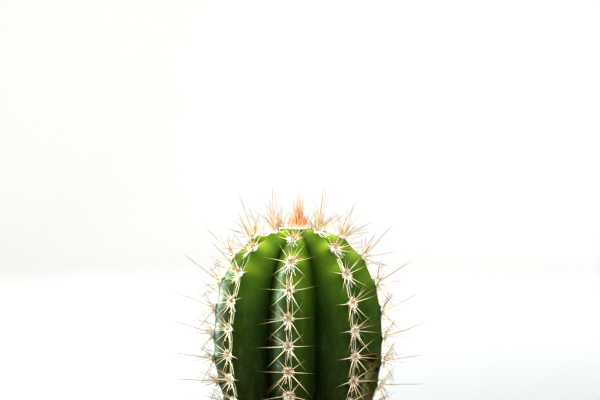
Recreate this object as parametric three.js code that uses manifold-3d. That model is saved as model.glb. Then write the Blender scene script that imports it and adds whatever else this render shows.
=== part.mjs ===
// A round, ribbed cactus growing in a plain terracotta pot.
//
// Millimetres, +Z up. The origin is the centre of the pot's underside and -Y is the front.
// The pot is a tapered shell with a collar and a drain hole, and a curved crock bridges the hole.
// Potting mix fills it round the plant's roots. The stem has eight ribs. Each rib carries one row
// of woolly areoles with their spines, and a tuft of young spines closes the crown.
import * as THREE from "three";
import { mergeVertices } from "three/addons/utils/BufferGeometryUtils.js";
import Module from "manifold-3d";

const wasm = await Module();
wasm.setup();

// ---- Driving dimensions -------------------------------------------------------------------------

const CLEARANCE = 0.3; // between two pieces that touch

// Pot
const POT_HEIGHT = 78;
const POT_FOOT_RADIUS = 32;
const POT_RIM_RADIUS = 48.5; // outside of the collar
const POT_WALL = 4.5;
const POT_FLOOR = 6;
const COLLAR_HEIGHT = 19;
const COLLAR_STEP = 2.5; // how far the collar stands out of the wall
const RIM_ROUNDING = 1.8;
const RIM_STEPS = 2;
const FOOT_CHAMFER = 1.2;
const DRAIN_HOLE_RADIUS = 6;
const POT_SIDES = 60;

// Crock: a shard of a broken pot, laid hollow side down
const CROCK_RADIUS = 26; // of its outer face
const CROCK_THICKNESS = 4.5;
const CROCK_HALF_ANGLE = THREE.MathUtils.degToRad(38);
const CROCK_LENGTH = 24;
const CROCK_TURN = THREE.MathUtils.degToRad(25);
const CROCK_FACETS = 10;

// Potting mix
const SOIL_BELOW_RIM = 9;
const SOIL_MOUND = 1.2; // how much higher it lies against the stem than against the pot

// Stem
const RIBS = 8;
const RIB_TURN = THREE.MathUtils.degToRad(-6); // how far the front rib is turned from -Y
const STEM_RADIUS = 30.2; // to the rib crests, where the stem is widest
const CROWN_HEIGHT = 41; // from the widest level to the top
const WAIST_HEIGHT = 38; // from the soil to the widest level
const NECK_RADIUS = 19; // to the rib crests, at the soil
const CROWN_FULLNESS = 2.4; // 2 is an ellipse, and more is squarer shouldered
const GROOVE_DEPTH = 8.5;
const GROOVE_TAPER = 0.85; // grooves get shallower towards the crown by this power of the radius
const CREST_ROUNDING = 1.35; // 1 is a sharp crest, and more is rounder
const BUMP_HEIGHT = 0.8; // the swelling under each areole
const BUMP_SPREAD = 0.35; // of the way from crest to groove
const COLUMNS_PER_RIB = 6;
const CROWN_RINGS = [0.7, 0.4]; // between the first areole and the top, as shares of that arc

// Roots
const ROOT_NECK_RADIUS = 8.5;
const ROOT_NECK_DEPTH = 13;
const TAPROOT_DEPTH = 38;
const TAPROOT_TIP_RADIUS = 1.8;
const SIDE_ROOTS = 5;
const SIDE_ROOT_LENGTH = 17;
const SIDE_ROOT_RADIUS = 1.7;
const SIDE_ROOT_TIP_RADIUS = 0.5;
const SIDE_ROOT_DIP = THREE.MathUtils.degToRad(32);
const SIDE_ROOT_WANDER = 0.2; // of the angle between two roots, and of the dip, each way
const ROOT_SIDES = 6;

// Areoles. Their places are arc lengths down the crest from the top, in half steps: neighbouring
// ribs take turns, so that the areoles of one rib lie between those of the next.
const FIRST_AREOLE = 10.6;
const HALF_STEP = 5.5;
const STEP_SHRINK = 0.055; // each half step is twice this much shorter than the one above it
const LOWEST_AREOLE = 2.5; // above the pot's rim, or higher
const PAD_WIDTH = 3;
const PAD_THICKNESS = 1.1;
const PAD_CORE = 0.7; // of the pad's width carries spines
const FELT_WIDTH = 1.1; // of the line of felt that joins the pads of a row
const FELT_THICKNESS = 0.6;

// Spines
const SPINE_GAP = 0.5; // kept to the next row's spines, the tuft and the rim's level
const LENGTH_SPREAD = 0.12; // as a share of the length, each way
const TURN_SPREAD = THREE.MathUtils.degToRad(7); // each way
const LEAN_SPREAD = THREE.MathUtils.degToRad(4); // each way
const YOUNG_ARC = 30; // above this arc the spines stand more upright
const YOUNG_LEAN = 0.45; // the share of its lean that a spine at the top would keep
// Turn about the areole from straight up the rib, lean from the areole's normal, and length
const spine = (turn, lean, length) => ({
  turn: THREE.MathUtils.degToRad(turn),
  lean: THREE.MathUtils.degToRad(lean),
  length,
});
// Three ranks of three on every pad, the upper rank first
const SPINE_FAN = [
  [spine(-40, 68, 8.2), spine(-8, 58, 6.2), spine(44, 68, 8.6)],
  [spine(-92, 76, 10.4), spine(14, 17, 14.2), spine(86, 76, 10.0)],
  [spine(-138, 72, 10.2), spine(174, 64, 7.4), spine(142, 72, 10.6)],
];

// Crown tuft
const TUFT_RADIUS = 5.2;
const TUFT_HEIGHT = 13.5; // above the stem's top
const TUFT_PAD_HEIGHT = 1.6;
const TUFT_SPINES = 24;
const TUFT_CLUSTER = 0.7; // of the pad's radius is covered with spines
const TUFT_SPINE_RADIUS = 0.34; // at the base
const TUFT_OUTER_SHARE = 0.62; // the outermost spine's length, as a share of the middle one's
const TUFT_SPREAD = THREE.MathUtils.degToRad(3); // each way
const TUFT_PAD_SIDES = 12;
const TUFT_SPINE_SIDES = 3;

// ---- Worked out from them -----------------------------------------------------------------------

const SOIL_LEVEL = POT_HEIGHT - SOIL_BELOW_RIM;
const SECTOR = (2 * Math.PI) / RIBS;
const STEM_TOP = WAIST_HEIGHT + CROWN_HEIGHT; // above the soil
const WALL_TOP_RADIUS = POT_RIM_RADIUS - COLLAR_STEP;
const POT_TAPER = (WALL_TOP_RADIUS - POT_FOOT_RADIUS) / POT_HEIGHT;
const potOutside = (z) => POT_FOOT_RADIUS + POT_TAPER * z;
const potInside = (z) => potOutside(z) - POT_WALL * Math.hypot(1, POT_TAPER);

// ---- Materials ----------------------------------------------------------------------------------

const finish = (color, roughness) => new THREE.MeshStandardMaterial({ color, roughness, metalness: 0 });
const TERRACOTTA = finish(0xb8694a, 0.85);
const POTTING_MIX = finish(0x3b2a20, 0.95);
const CACTUS_SKIN = finish(0x2f6b24, 0.45);
const WOOL_AND_SPINE = finish(0xe6d6b8, 0.7);
const YOUNG_SPINE = finish(0xd9752f, 0.6);

// ---- Helpers ------------------------------------------------------------------------------------

const Y_AXIS = new THREE.Vector3(0, 1, 0);

// A closed three.js geometry as a solid that can be joined and cut.
function solidOf(geometry) {
  const bare = geometry.index ? geometry.toNonIndexed() : geometry.clone();
  bare.deleteAttribute("normal");
  bare.deleteAttribute("uv");
  const merged = mergeVertices(bare, 1e-4);
  return new wasm.Manifold(
    new wasm.Mesh({
      numProp: 3,
      vertProperties: new Float32Array(merged.attributes.position.array),
      triVerts: new Uint32Array(merged.index.array),
    }),
  );
}

function geometryOf(solid) {
  const made = solid.getMesh();
  const geometry = new THREE.BufferGeometry();
  geometry.setAttribute("position", new THREE.BufferAttribute(made.vertProperties, 3));
  geometry.setIndex(new THREE.BufferAttribute(made.triVerts, 1));
  return geometry;
}

const joined = (geometries) => geometries.map(solidOf).reduce((all, next) => all.add(next));

function piece(name, geometry, material) {
  const mesh = new THREE.Mesh(geometry, material);
  mesh.name = name;
  return mesh;
}

// A repeatable number from -1 to 1 for each seed, so that no two spines are alike.
function scatter(seed) {
  const mixed = Math.sin(seed * 12.9898 + 4.1414) * 43758.5453;
  return 2 * (mixed - Math.floor(mixed)) - 1;
}

// A solid turned about +Z from [radius, height] points, which run upwards outside.
function turned(points, sides) {
  const profile = points.map(([radius, height]) => new THREE.Vector2(radius, height));
  return new THREE.LatheGeometry(profile, sides).rotateX(Math.PI / 2);
}

// A straight tapered rod from a point along a unit direction.
function rod(start, direction, length, radius, tipRadius, sides) {
  const geometry = new THREE.CylinderGeometry(tipRadius, radius, length, sides);
  geometry.translate(0, length / 2, 0);
  geometry.applyQuaternion(new THREE.Quaternion().setFromUnitVectors(Y_AXIS, direction));
  return geometry.translate(start.x, start.y, start.z);
}

// ---- Pot ----------------------------------------------------------------------------------------

// The quarter round of a rim edge, from one angle to a quarter turn further on.
function rimCorner(x, from) {
  return Array.from({ length: RIM_STEPS + 1 }, (_, i) => {
    const angle = from + (Math.PI / 2) * (i / RIM_STEPS);
    const z = POT_HEIGHT - RIM_ROUNDING + RIM_ROUNDING * Math.sin(angle);
    return [x + RIM_ROUNDING * Math.cos(angle), z];
  });
}

function makePot() {
  const collarFoot = POT_HEIGHT - COLLAR_HEIGHT;
  const profile = [
    [DRAIN_HOLE_RADIUS, 0],
    [POT_FOOT_RADIUS - FOOT_CHAMFER, 0],
    [potOutside(FOOT_CHAMFER), FOOT_CHAMFER],
    [potOutside(collarFoot), collarFoot],
    [potOutside(collarFoot) + COLLAR_STEP, collarFoot],
    ...rimCorner(POT_RIM_RADIUS - RIM_ROUNDING, 0),
    ...rimCorner(potInside(POT_HEIGHT) + RIM_ROUNDING, Math.PI / 2),
    [potInside(POT_FLOOR), POT_FLOOR],
    [DRAIN_HOLE_RADIUS, POT_FLOOR],
    [DRAIN_HOLE_RADIUS, 0],
  ];
  return piece("pot", turned(profile, POT_SIDES), TERRACOTTA);
}

// ---- Crock --------------------------------------------------------------------------------------

// An arch of the given radii over the Y axis, swept along it. With no inner radius it is a wedge.
function arch(outer, inner, length, halfAngle) {
  const shape = new THREE.Shape();
  const from = Math.PI / 2 - halfAngle;
  const to = Math.PI / 2 + halfAngle;
  shape.absarc(0, 0, outer, from, to, false);
  if (inner > 0) shape.absarc(0, 0, inner, to, from, true);
  else shape.lineTo(0, 0);
  const options = { depth: length, bevelEnabled: false, curveSegments: CROCK_FACETS };
  return new THREE.ExtrudeGeometry(shape, options).translate(0, 0, -length / 2).rotateX(Math.PI / 2);
}

// Sets an arch on the pot's floor, so that the crock stands on its inner corners.
function onPotFloor(archGeometry) {
  const springing = (CROCK_RADIUS - CROCK_THICKNESS) * Math.cos(CROCK_HALF_ANGLE);
  return archGeometry.rotateZ(CROCK_TURN).translate(0, 0, POT_FLOOR + CLEARANCE - springing);
}

function makeCrock() {
  const inner = CROCK_RADIUS - CROCK_THICKNESS;
  const shard = arch(CROCK_RADIUS, inner, CROCK_LENGTH, CROCK_HALF_ANGLE);
  return piece("drain_crock", onPotFloor(shard), TERRACOTTA);
}

// The room under and round the crock, which the potting mix doesn't fill.
function crockRoom() {
  const halfAngle = CROCK_HALF_ANGLE + CLEARANCE / (CROCK_RADIUS - CROCK_THICKNESS);
  return solidOf(onPotFloor(arch(CROCK_RADIUS + CLEARANCE, 0, CROCK_LENGTH + 2 * CLEARANCE, halfAngle)));
}

// ---- Stem ---------------------------------------------------------------------------------------
// The plant's own frame has its origin on the stem's axis at the soil, and its first rib along +X.

// The line down one rib's crest, from the top of the stem to the soil, in the XZ plane.
class CrestLine extends THREE.Curve {
  getPoint(t, target = new THREE.Vector3()) {
    if (t < 0.5) {
      const angle = t * Math.PI;
      const power = 2 / CROWN_FULLNESS;
      const rise = CROWN_HEIGHT * Math.cos(angle) ** power;
      return target.set(STEM_RADIUS * Math.sin(angle) ** power, 0, WAIST_HEIGHT + rise);
    }
    const down = 2 * t - 1;
    const radius = STEM_RADIUS - (STEM_RADIUS - NECK_RADIUS) * down ** 2;
    return target.set(radius, 0, WAIST_HEIGHT * (1 - down));
  }
}

const crest = new CrestLine();
crest.arcLengthDivisions = 800;
const CREST_LENGTH = crest.getLength();

// The crest's point, its outward normal and the way up the rib, at an arc length from the top.
function crestAt(arc) {
  const share = THREE.MathUtils.clamp(arc / CREST_LENGTH, 0, 1);
  const up = crest.getTangentAt(share).negate();
  return { point: crest.getPointAt(share), normal: new THREE.Vector3(up.z, 0, -up.x), up };
}

const grooveDepthAt = (radius) => GROOVE_DEPTH * (radius / STEM_RADIUS) ** GROOVE_TAPER;
const areoleArc = (halfStep) => FIRST_AREOLE + HALF_STEP * halfStep - STEP_SHRINK * halfStep ** 2;

// The half steps that carry an areole, from the first to the last one that clears the rim.
function areoleHalfSteps() {
  const found = [];
  const lastStep = HALF_STEP / (2 * STEP_SHRINK);
  for (let halfStep = 0; halfStep < lastStep; halfStep++) {
    const arc = areoleArc(halfStep);
    if (arc > CREST_LENGTH || crestAt(arc).point.z < SOIL_BELOW_RIM + LOWEST_AREOLE) break;
    found.push(halfStep);
  }
  return found;
}

const HALF_STEPS = areoleHalfSteps();
const ribHasAreole = (rib, halfStep) => (rib + halfStep) % 2 === 1;

// Rings of the stem from the taproot's tip to the top: the crest's radius, height and outward
// normal, the groove's depth below it, and the half step of a ring that carries areoles.
function stemRings() {
  const rings = [];
  const addRing = (radius, height, normal, groove, halfStep = null) =>
    rings.push({ radius, height, normal, groove, halfStep });
  const outward = new THREE.Vector3(1, 0, 0);
  addRing(0, -TAPROOT_DEPTH, new THREE.Vector3(0, 0, -1), 0);
  addRing(TAPROOT_TIP_RADIUS, -TAPROOT_DEPTH, new THREE.Vector3(1, 0, -1), 0);
  addRing(ROOT_NECK_RADIUS, -ROOT_NECK_DEPTH, outward, 0);
  const shoulder = (NECK_RADIUS + ROOT_NECK_RADIUS) / 2;
  addRing(shoulder, -ROOT_NECK_DEPTH / 2, outward, grooveDepthAt(NECK_RADIUS) / 3);
  const addCrestRing = (arc, halfStep) => {
    const { point, normal } = crestAt(arc);
    addRing(point.x, point.z, normal, grooveDepthAt(point.x), halfStep);
  };
  addCrestRing(CREST_LENGTH);
  addCrestRing((CREST_LENGTH + areoleArc(HALF_STEPS.at(-1))) / 2);
  for (const halfStep of [...HALF_STEPS].reverse()) addCrestRing(areoleArc(halfStep), halfStep);
  for (const share of CROWN_RINGS) addCrestRing(FIRST_AREOLE * share);
  addRing(0, STEM_TOP, new THREE.Vector3(0, 0, 1), 0);
  return rings;
}

// Across a rib, from 0 on the crest to 1 in the groove: how far the skin has fallen towards the
// groove, and how much of an areole's swelling is left.
const grooveShape = (offCrest) => offCrest ** CREST_ROUNDING;
const bumpShape = (offCrest) => Math.exp(-((offCrest / BUMP_SPREAD) ** 2));

// The ribbed body, with every point moved out by grow along the crest's normal.
function stemGeometry(grow = 0) {
  const rings = stemRings();
  const columns = RIBS * COLUMNS_PER_RIB;
  const geometry = turned(rings.map(({ radius, height }) => [radius, height]), columns);
  const place = geometry.attributes.position;
  for (let index = 0; index < place.count; index++) {
    const { radius, height, normal, groove, halfStep } = rings[index % rings.length];
    const column = Math.floor(index / rings.length);
    const nearestRib = Math.round(column / COLUMNS_PER_RIB);
    const offCrest = Math.abs(column / COLUMNS_PER_RIB - nearestRib) * 2;
    const swells = halfStep !== null && ribHasAreole(nearestRib % RIBS, halfStep);
    const bump = swells ? BUMP_HEIGHT * bumpShape(offCrest) : 0;
    const out = grow + bump - groove * grooveShape(offCrest);
    const angle = (column / columns) * 2 * Math.PI;
    const reach = radius + normal.x * out;
    place.setXYZ(index, reach * Math.cos(angle), reach * Math.sin(angle), height + normal.z * out);
  }
  return geometry;
}

function sideRoots(grow = 0) {
  return Array.from({ length: SIDE_ROOTS }, (_, i) => {
    const angle = ((i + SIDE_ROOT_WANDER * scatter(i)) / SIDE_ROOTS) * 2 * Math.PI;
    const dip = SIDE_ROOT_DIP * (1 + SIDE_ROOT_WANDER * scatter(i + SIDE_ROOTS));
    const flat = Math.cos(dip);
    const direction = new THREE.Vector3(flat * Math.cos(angle), flat * Math.sin(angle), -Math.sin(dip));
    const start = new THREE.Vector3(0, 0, -ROOT_NECK_DEPTH);
    const length = ROOT_NECK_RADIUS + SIDE_ROOT_LENGTH + grow;
    const tipRadius = SIDE_ROOT_TIP_RADIUS + grow;
    return rod(start, direction, length, SIDE_ROOT_RADIUS + grow, tipRadius, ROOT_SIDES);
  });
}

const stemSolid = (grow = 0) => joined([stemGeometry(grow), ...sideRoots(grow)]);
const makeStem = () => piece("stem", geometryOf(stemSolid()), CACTUS_SKIN);

// ---- Potting mix --------------------------------------------------------------------------------

// It lies against the pot, the crock and the buried plant, which is a solid in the pot's frame.
function makeSoil(buriedPlant) {
  const bottom = POT_FLOOR + CLEARANCE;
  const profile = [
    [0, bottom],
    [potInside(bottom) - CLEARANCE, bottom],
    [potInside(SOIL_LEVEL) - CLEARANCE, SOIL_LEVEL],
    [NECK_RADIUS, SOIL_LEVEL + SOIL_MOUND],
    [0, SOIL_LEVEL + SOIL_MOUND],
  ];
  const fill = solidOf(turned(profile, POT_SIDES));
  return piece("potting_mix", geometryOf(fill.subtract(buriedPlant).subtract(crockRoom())), POTTING_MIX);
}

// ---- Areoles and spines -------------------------------------------------------------------------
// The wool of one rib is a strip along its crest, flat behind, that swells into a pad at every
// areole. The pad's front is a grid of facets, and each facet is drawn out into a spine.

// Where each corner of the strip's section lies, as a share of its half width
const SECTION = [-1, -PAD_CORE, -PAD_CORE / 3, PAD_CORE / 3, PAD_CORE, 1];
const RANK_EDGES = SECTION.slice(1, -1);

// One section of the strip, from its left edge over the front to its right edge.
function woolSection({ point, normal, up }, width, thickness) {
  const side = new THREE.Vector3().crossVectors(up, normal);
  return SECTION.map((share, i) => {
    const isEdge = i === 0 || i === SECTION.length - 1;
    const height = CLEARANCE + (isEdge ? 0 : thickness);
    return point.clone().addScaledVector(side, (share * width) / 2).addScaledVector(normal, height);
  });
}

// The most that a spine may measure while its tip stays in its own rib's sector, off the tuft and
// above the pot's rim.
function roomFor(start, direction) {
  const slope = Math.tan(SECTOR / 2);
  const sideways = Math.abs(direction.y) - slope * direction.x;
  const room = slope * start.x - Math.sign(direction.y) * start.y - SPINE_GAP;
  const toNeighbour = sideways > 0 ? room / sideways : Infinity;
  const toTuft = direction.x < 0 ? (start.x - TUFT_RADIUS - SPINE_GAP) / -direction.x : Infinity;
  const toRim = direction.z < 0 ? (start.z - SOIL_BELOW_RIM - SPINE_GAP) / -direction.z : Infinity;
  return Math.min(toNeighbour, toTuft, toRim);
}

function spineTip({ normal, up }, start, habit, leanShare, seed) {
  const side = new THREE.Vector3().crossVectors(up, normal);
  const turn = habit.turn + TURN_SPREAD * scatter(seed);
  const lean = habit.lean * leanShare + LEAN_SPREAD * scatter(seed + 1);
  const wanted = habit.length * (1 + LENGTH_SPREAD * scatter(seed + 2));
  const direction = normal.clone().multiplyScalar(Math.cos(lean));
  direction.addScaledVector(up, Math.cos(turn) * Math.sin(lean));
  direction.addScaledVector(side, Math.sin(turn) * Math.sin(lean));
  return start.clone().addScaledVector(direction, Math.min(wanted, roomFor(start, direction)));
}

// The strip's sections down one rib, and the tip of every spine under the number of the section
// above its facet and of the facet's left corner.
function spineRowPlan(rib) {
  const halfSteps = HALF_STEPS.filter((halfStep) => ribHasAreole(rib, halfStep));
  const sections = [];
  const tips = new Map();
  for (let halfStep = halfSteps[0]; halfStep <= halfSteps.at(-1); halfStep++) {
    const arc = areoleArc(halfStep);
    const place = crestAt(arc);
    if (!halfSteps.includes(halfStep)) {
      sections.push(woolSection(place, FELT_WIDTH, FELT_THICKNESS));
      continue;
    }
    place.point.addScaledVector(place.normal, BUMP_HEIGHT);
    const first = sections.length;
    for (const edge of RANK_EDGES) {
      const point = place.point.clone().addScaledVector(place.up, (-edge * PAD_WIDTH) / 2);
      sections.push(woolSection({ ...place, point }, PAD_WIDTH, PAD_THICKNESS));
    }
    const leanShare = THREE.MathUtils.lerp(YOUNG_LEAN, 1, THREE.MathUtils.smoothstep(arc, 0, YOUNG_ARC));
    SPINE_FAN.forEach((rank, rankNumber) => {
      rank.forEach((habit, file) => {
        const upper = sections[first + rankNumber][file + 1];
        const lower = sections[first + rankNumber + 1][file + 2];
        const middle = upper.clone().lerp(lower, 0.5);
        const seed = 1000 * rib + 30 * halfStep + 9 * rankNumber + 3 * file;
        const tip = spineTip(place, middle, habit, leanShare, seed);
        tips.set(`${first + rankNumber} ${file + 1}`, tip);
      });
    });
  }
  return { sections, tips };
}

// Everything that grows on one rib's crest, as one closed skin.
function makeSpineRow(rib) {
  const { sections, tips } = spineRowPlan(rib);
  const corners = sections.flat();
  const triangles = [];
  const count = SECTION.length;
  for (let row = 0; row < sections.length - 1; row++) {
    for (let file = 0; file < count; file++) {
      const next = (file + 1) % count;
      const [above, below] = [row * count, (row + 1) * count];
      const ring = [above + file, below + file, below + next, above + next];
      const tip = tips.get(`${row} ${file}`);
      if (tip) {
        corners.push(tip);
        ring.forEach((corner, i) => triangles.push(corner, ring[(i + 1) % 4], corners.length - 1));
      } else {
        triangles.push(ring[0], ring[1], ring[2], ring[0], ring[2], ring[3]);
      }
    }
  }
  const end = (sections.length - 1) * count;
  for (let corner = 1; corner < count - 1; corner++) {
    triangles.push(0, corner, corner + 1);
    triangles.push(end, end + corner + 1, end + corner);
  }
  const geometry = new THREE.BufferGeometry().setFromPoints(corners);
  geometry.setIndex(triangles);
  const row = piece(`spine_row_${rib + 1}`, geometry, WOOL_AND_SPINE);
  row.rotation.z = rib * SECTOR;
  return row;
}

// ---- Crown tuft ---------------------------------------------------------------------------------

// A low dome of wool with young spines that stand up from it, longest in the middle.
function makeCrownTuft() {
  const foot = STEM_TOP + CLEARANCE;
  const padRadius = TUFT_RADIUS - TUFT_SPINE_RADIUS;
  const padProfile = [
    [0, foot],
    [padRadius * 0.9, foot],
    [padRadius, foot + TUFT_PAD_HEIGHT * 0.4],
    [padRadius * 0.7, foot + TUFT_PAD_HEIGHT * 0.85],
    [0, foot + TUFT_PAD_HEIGHT],
  ];
  const goldenAngle = Math.PI * (3 - Math.sqrt(5));
  const spines = Array.from({ length: TUFT_SPINES }, (_, i) => {
    const outness = Math.sqrt(i / TUFT_SPINES);
    const angle = i * goldenAngle;
    const offAxis = TUFT_CLUSTER * padRadius * outness;
    const outward = new THREE.Vector3(Math.cos(angle), Math.sin(angle), 0);
    const start = outward.clone().multiplyScalar(offAxis).setZ(foot + TUFT_PAD_HEIGHT / 2);
    const tilt = TUFT_SPREAD * scatter(i);
    const direction = outward.clone().multiplyScalar(Math.sin(tilt)).setZ(Math.cos(tilt));
    const longest = STEM_TOP + TUFT_HEIGHT - start.z;
    const length = longest * THREE.MathUtils.lerp(1, TUFT_OUTER_SHARE, outness ** 1.5);
    return rod(start, direction, length, TUFT_SPINE_RADIUS, 0, TUFT_SPINE_SIDES);
  });
  return piece("crown_tuft", geometryOf(joined([turned(padProfile, TUFT_PAD_SIDES), ...spines])), YOUNG_SPINE);
}

// ---- Assembly -----------------------------------------------------------------------------------

const plant = new THREE.Group();
plant.position.z = SOIL_LEVEL;
plant.rotation.z = RIB_TURN - Math.PI / 2;
plant.updateMatrix();
plant.add(makeStem(), makeCrownTuft());
for (let rib = 0; rib < RIBS; rib++) plant.add(makeSpineRow(rib));

const buriedPlant = solidOf(geometryOf(stemSolid(CLEARANCE)).applyMatrix4(plant.matrix));
const pottedCactus = new THREE.Group();
pottedCactus.add(makePot(), makeCrock(), makeSoil(buriedPlant), plant);

export default pottedCactus;
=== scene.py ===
"""A round cactus with eight ribs, potted in a plain clay pot: its looks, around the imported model.

The file follows the plant as it is potted up: studio and camera, pot, crock, potting mix, stem,
roots, wool, spines and crown. Sizes are in millimetres unless a comment says otherwise, and meshes
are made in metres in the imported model's frame, with +Z up and the front at -Y.
"""

import math

import bmesh
import bpy
import numpy as np
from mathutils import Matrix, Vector, noise


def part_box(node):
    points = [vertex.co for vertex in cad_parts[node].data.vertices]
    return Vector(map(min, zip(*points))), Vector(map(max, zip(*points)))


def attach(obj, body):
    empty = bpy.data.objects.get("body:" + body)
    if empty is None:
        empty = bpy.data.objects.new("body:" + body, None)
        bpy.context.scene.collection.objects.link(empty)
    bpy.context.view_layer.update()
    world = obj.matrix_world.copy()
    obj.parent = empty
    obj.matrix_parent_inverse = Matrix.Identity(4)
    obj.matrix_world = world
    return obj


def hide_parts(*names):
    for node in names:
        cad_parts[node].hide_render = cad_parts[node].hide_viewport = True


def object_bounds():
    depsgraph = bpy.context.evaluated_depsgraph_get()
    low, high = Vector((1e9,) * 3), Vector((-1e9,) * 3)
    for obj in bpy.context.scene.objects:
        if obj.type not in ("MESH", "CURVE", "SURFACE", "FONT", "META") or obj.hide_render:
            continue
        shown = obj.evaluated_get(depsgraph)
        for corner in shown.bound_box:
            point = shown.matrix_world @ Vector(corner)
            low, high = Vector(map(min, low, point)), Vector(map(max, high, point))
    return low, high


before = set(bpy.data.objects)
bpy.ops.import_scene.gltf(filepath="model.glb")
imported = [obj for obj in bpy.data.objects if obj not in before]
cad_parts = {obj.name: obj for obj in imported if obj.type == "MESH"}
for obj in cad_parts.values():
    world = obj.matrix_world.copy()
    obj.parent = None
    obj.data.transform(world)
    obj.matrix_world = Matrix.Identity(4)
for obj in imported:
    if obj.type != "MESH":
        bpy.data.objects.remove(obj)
cad_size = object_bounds()

# ---- Studio and camera ---------------------------------------------------------------------------
# The plant stands on a round cove of matt white paper under a white sky, with a box at each wall.
# Two polarised soft boxes light it from the upper left and the upper front, and a cool one far to
# the left draws a streak down its edge. A long lens looks on from three degrees above level.

MM = 0.001
VIEW_DISTANCE = 620.0
VIEW_TILT = math.radians(3)
AIM_RIGHT = 0.7
AIM_BELOW_TOP = 5.7
LENS = 103.3
SKY_STRENGTH = 0.55

scene = bpy.context.scene
scene.view_settings.view_transform = "Standard"
scene.view_settings.look = "High Contrast"
scene.view_settings.exposure = -0.12

camera = bpy.data.objects.new("camera", bpy.data.cameras.new("camera"))
camera.data.lens = LENS
camera.data.sensor_width = 36.0
camera.data.clip_start = 0.01
camera.location = (
    AIM_RIGHT * MM,
    -VIEW_DISTANCE * math.cos(VIEW_TILT) * MM,
    cad_size[1].z + (VIEW_DISTANCE * math.sin(VIEW_TILT) - AIM_BELOW_TOP) * MM,
)
camera.rotation_euler = (math.pi / 2 - VIEW_TILT, 0, 0)
scene.collection.objects.link(camera)
scene.camera = camera


def linear(hex_colour):
    """An sRGB hex colour as linear red, green, blue and alpha."""
    parts = [int(hex_colour[i : i + 2], 16) / 255 for i in (1, 3, 5)]
    return (*[p / 12.92 if p <= 0.04045 else ((p + 0.055) / 1.055) ** 2.4 for p in parts], 1.0)


def add(tree, kind, settings=None, links=None):
    """Adds a node. A lower-case setting is the node's own, stops are a ramp's, others are sockets'."""
    made = tree.nodes.new(kind)
    for name, value in (settings or {}).items():
        if name == "stops":
            ramp = made.color_ramp
            while len(ramp.elements) < len(value):
                ramp.elements.new(1.0)
            for element, (place, colour) in zip(ramp.elements, value):
                element.position = place
                element.color = linear(colour)
        elif isinstance(name, str) and name.islower():
            setattr(made, name, value)
        else:
            made.inputs[name].default_value = value
    for socket, (source, output) in (links or {}).items():
        tree.links.new(source.outputs[output], made.inputs[socket])
    return made


def begin_material(name):
    """An empty node material, its tree and its object coordinates in metres.

    A pattern's scale is how many of its cells lie in a metre, so 1000 makes cells of 1 mm.
    """
    material = bpy.data.materials.new(name)
    material.use_nodes = True
    material.node_tree.nodes.clear()
    return material, material.node_tree, add(material.node_tree, "ShaderNodeTexCoord")


def make_mesh(name, corners, faces, material, unfolded=None, values=None):
    """A smooth mesh object from corners in millimetres, with its unfolded map and named values."""
    mesh = bpy.data.meshes.new(name)
    mesh.from_pydata((np.asarray(corners) * MM).tolist(), [], faces)
    mesh.polygons.foreach_set("use_smooth", [True] * len(mesh.polygons))
    for label, numbers in (values or {}).items():
        layer = mesh.attributes.new(label, "FLOAT", "POINT")
        layer.data.foreach_set("value", np.asarray(numbers, np.float32))
    if unfolded is not None:
        mesh.uv_layers.new(name="OFBake").data.foreach_set("uv", np.ravel(unfolded).astype(np.float32))
    if material:
        mesh.materials.append(material)
    made = bpy.data.objects.new(name, mesh)
    scene.collection.objects.link(made)
    return made


def wrapped_grid(rows, columns, closed=False):
    """Quads between rows of corners that run round an axis, and where the quads lie unfolded."""
    row, column = np.meshgrid(np.arange(rows if closed else rows - 1), np.arange(columns), indexing="ij")
    row = row.ravel()
    column = column.ravel()
    rows_on = np.stack([row, row, row + 1, row + 1], axis=1)
    columns_on = np.stack([column, column + 1, column + 1, column], axis=1)
    quads = (rows_on % rows) * columns + columns_on % columns
    unfolded = np.stack([columns_on / columns, rows_on / rows], axis=2)
    return quads, unfolded


def turned(profile, sides):
    """Corners of a radius and height profile turned about +Z, one row for each profile point."""
    angle = np.arange(sides) / sides * 2 * np.pi
    radius, height = np.asarray(profile, float).T[:, :, None]
    flat = np.broadcast_to(height, (len(profile), sides))
    return np.stack([radius * np.cos(angle), radius * np.sin(angle), flat], axis=2)


# Background paper, matt and uncoated: it scatters light evenly and shows no gloss. It is greyer
# under the plant, where the boxes hang close, so that the shadow on it isn't bleached out.
paper, tree, place = begin_material("matt_background_paper")
distance = add(tree, "ShaderNodeVectorMath", {"operation": "LENGTH"}, {0: (place, "Object")})
far = add(
    tree,
    "ShaderNodeMapRange",
    {"interpolation_type": "SMOOTHSTEP", "From Min": 0.1, "From Max": 1.1},
    {"Value": (distance, "Value")},
)
grey = add(
    tree,
    "ShaderNodeMix",
    {"data_type": "RGBA", 6: linear("#A3A2A1"), 7: linear("#D2D1D0")},
    {0: (far, 0)},
)
shader = add(
    tree,
    "ShaderNodeBsdfPrincipled",
    {"Roughness": 1.0, "Specular IOR Level": 0.0},
    {"Base Color": (grey, 2)},
)
add(tree, "ShaderNodeOutputMaterial", {}, {"Surface": (shader, 0)})

COVE_FLOOR_RADIUS = 1500.0
COVE_FLOOR_LEVEL = -0.05
COVE_BEND = 500.0
COVE_BEND_STEPS = 12
COVE_TOP = 1300.0
COVE_SIDES = 96

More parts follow.
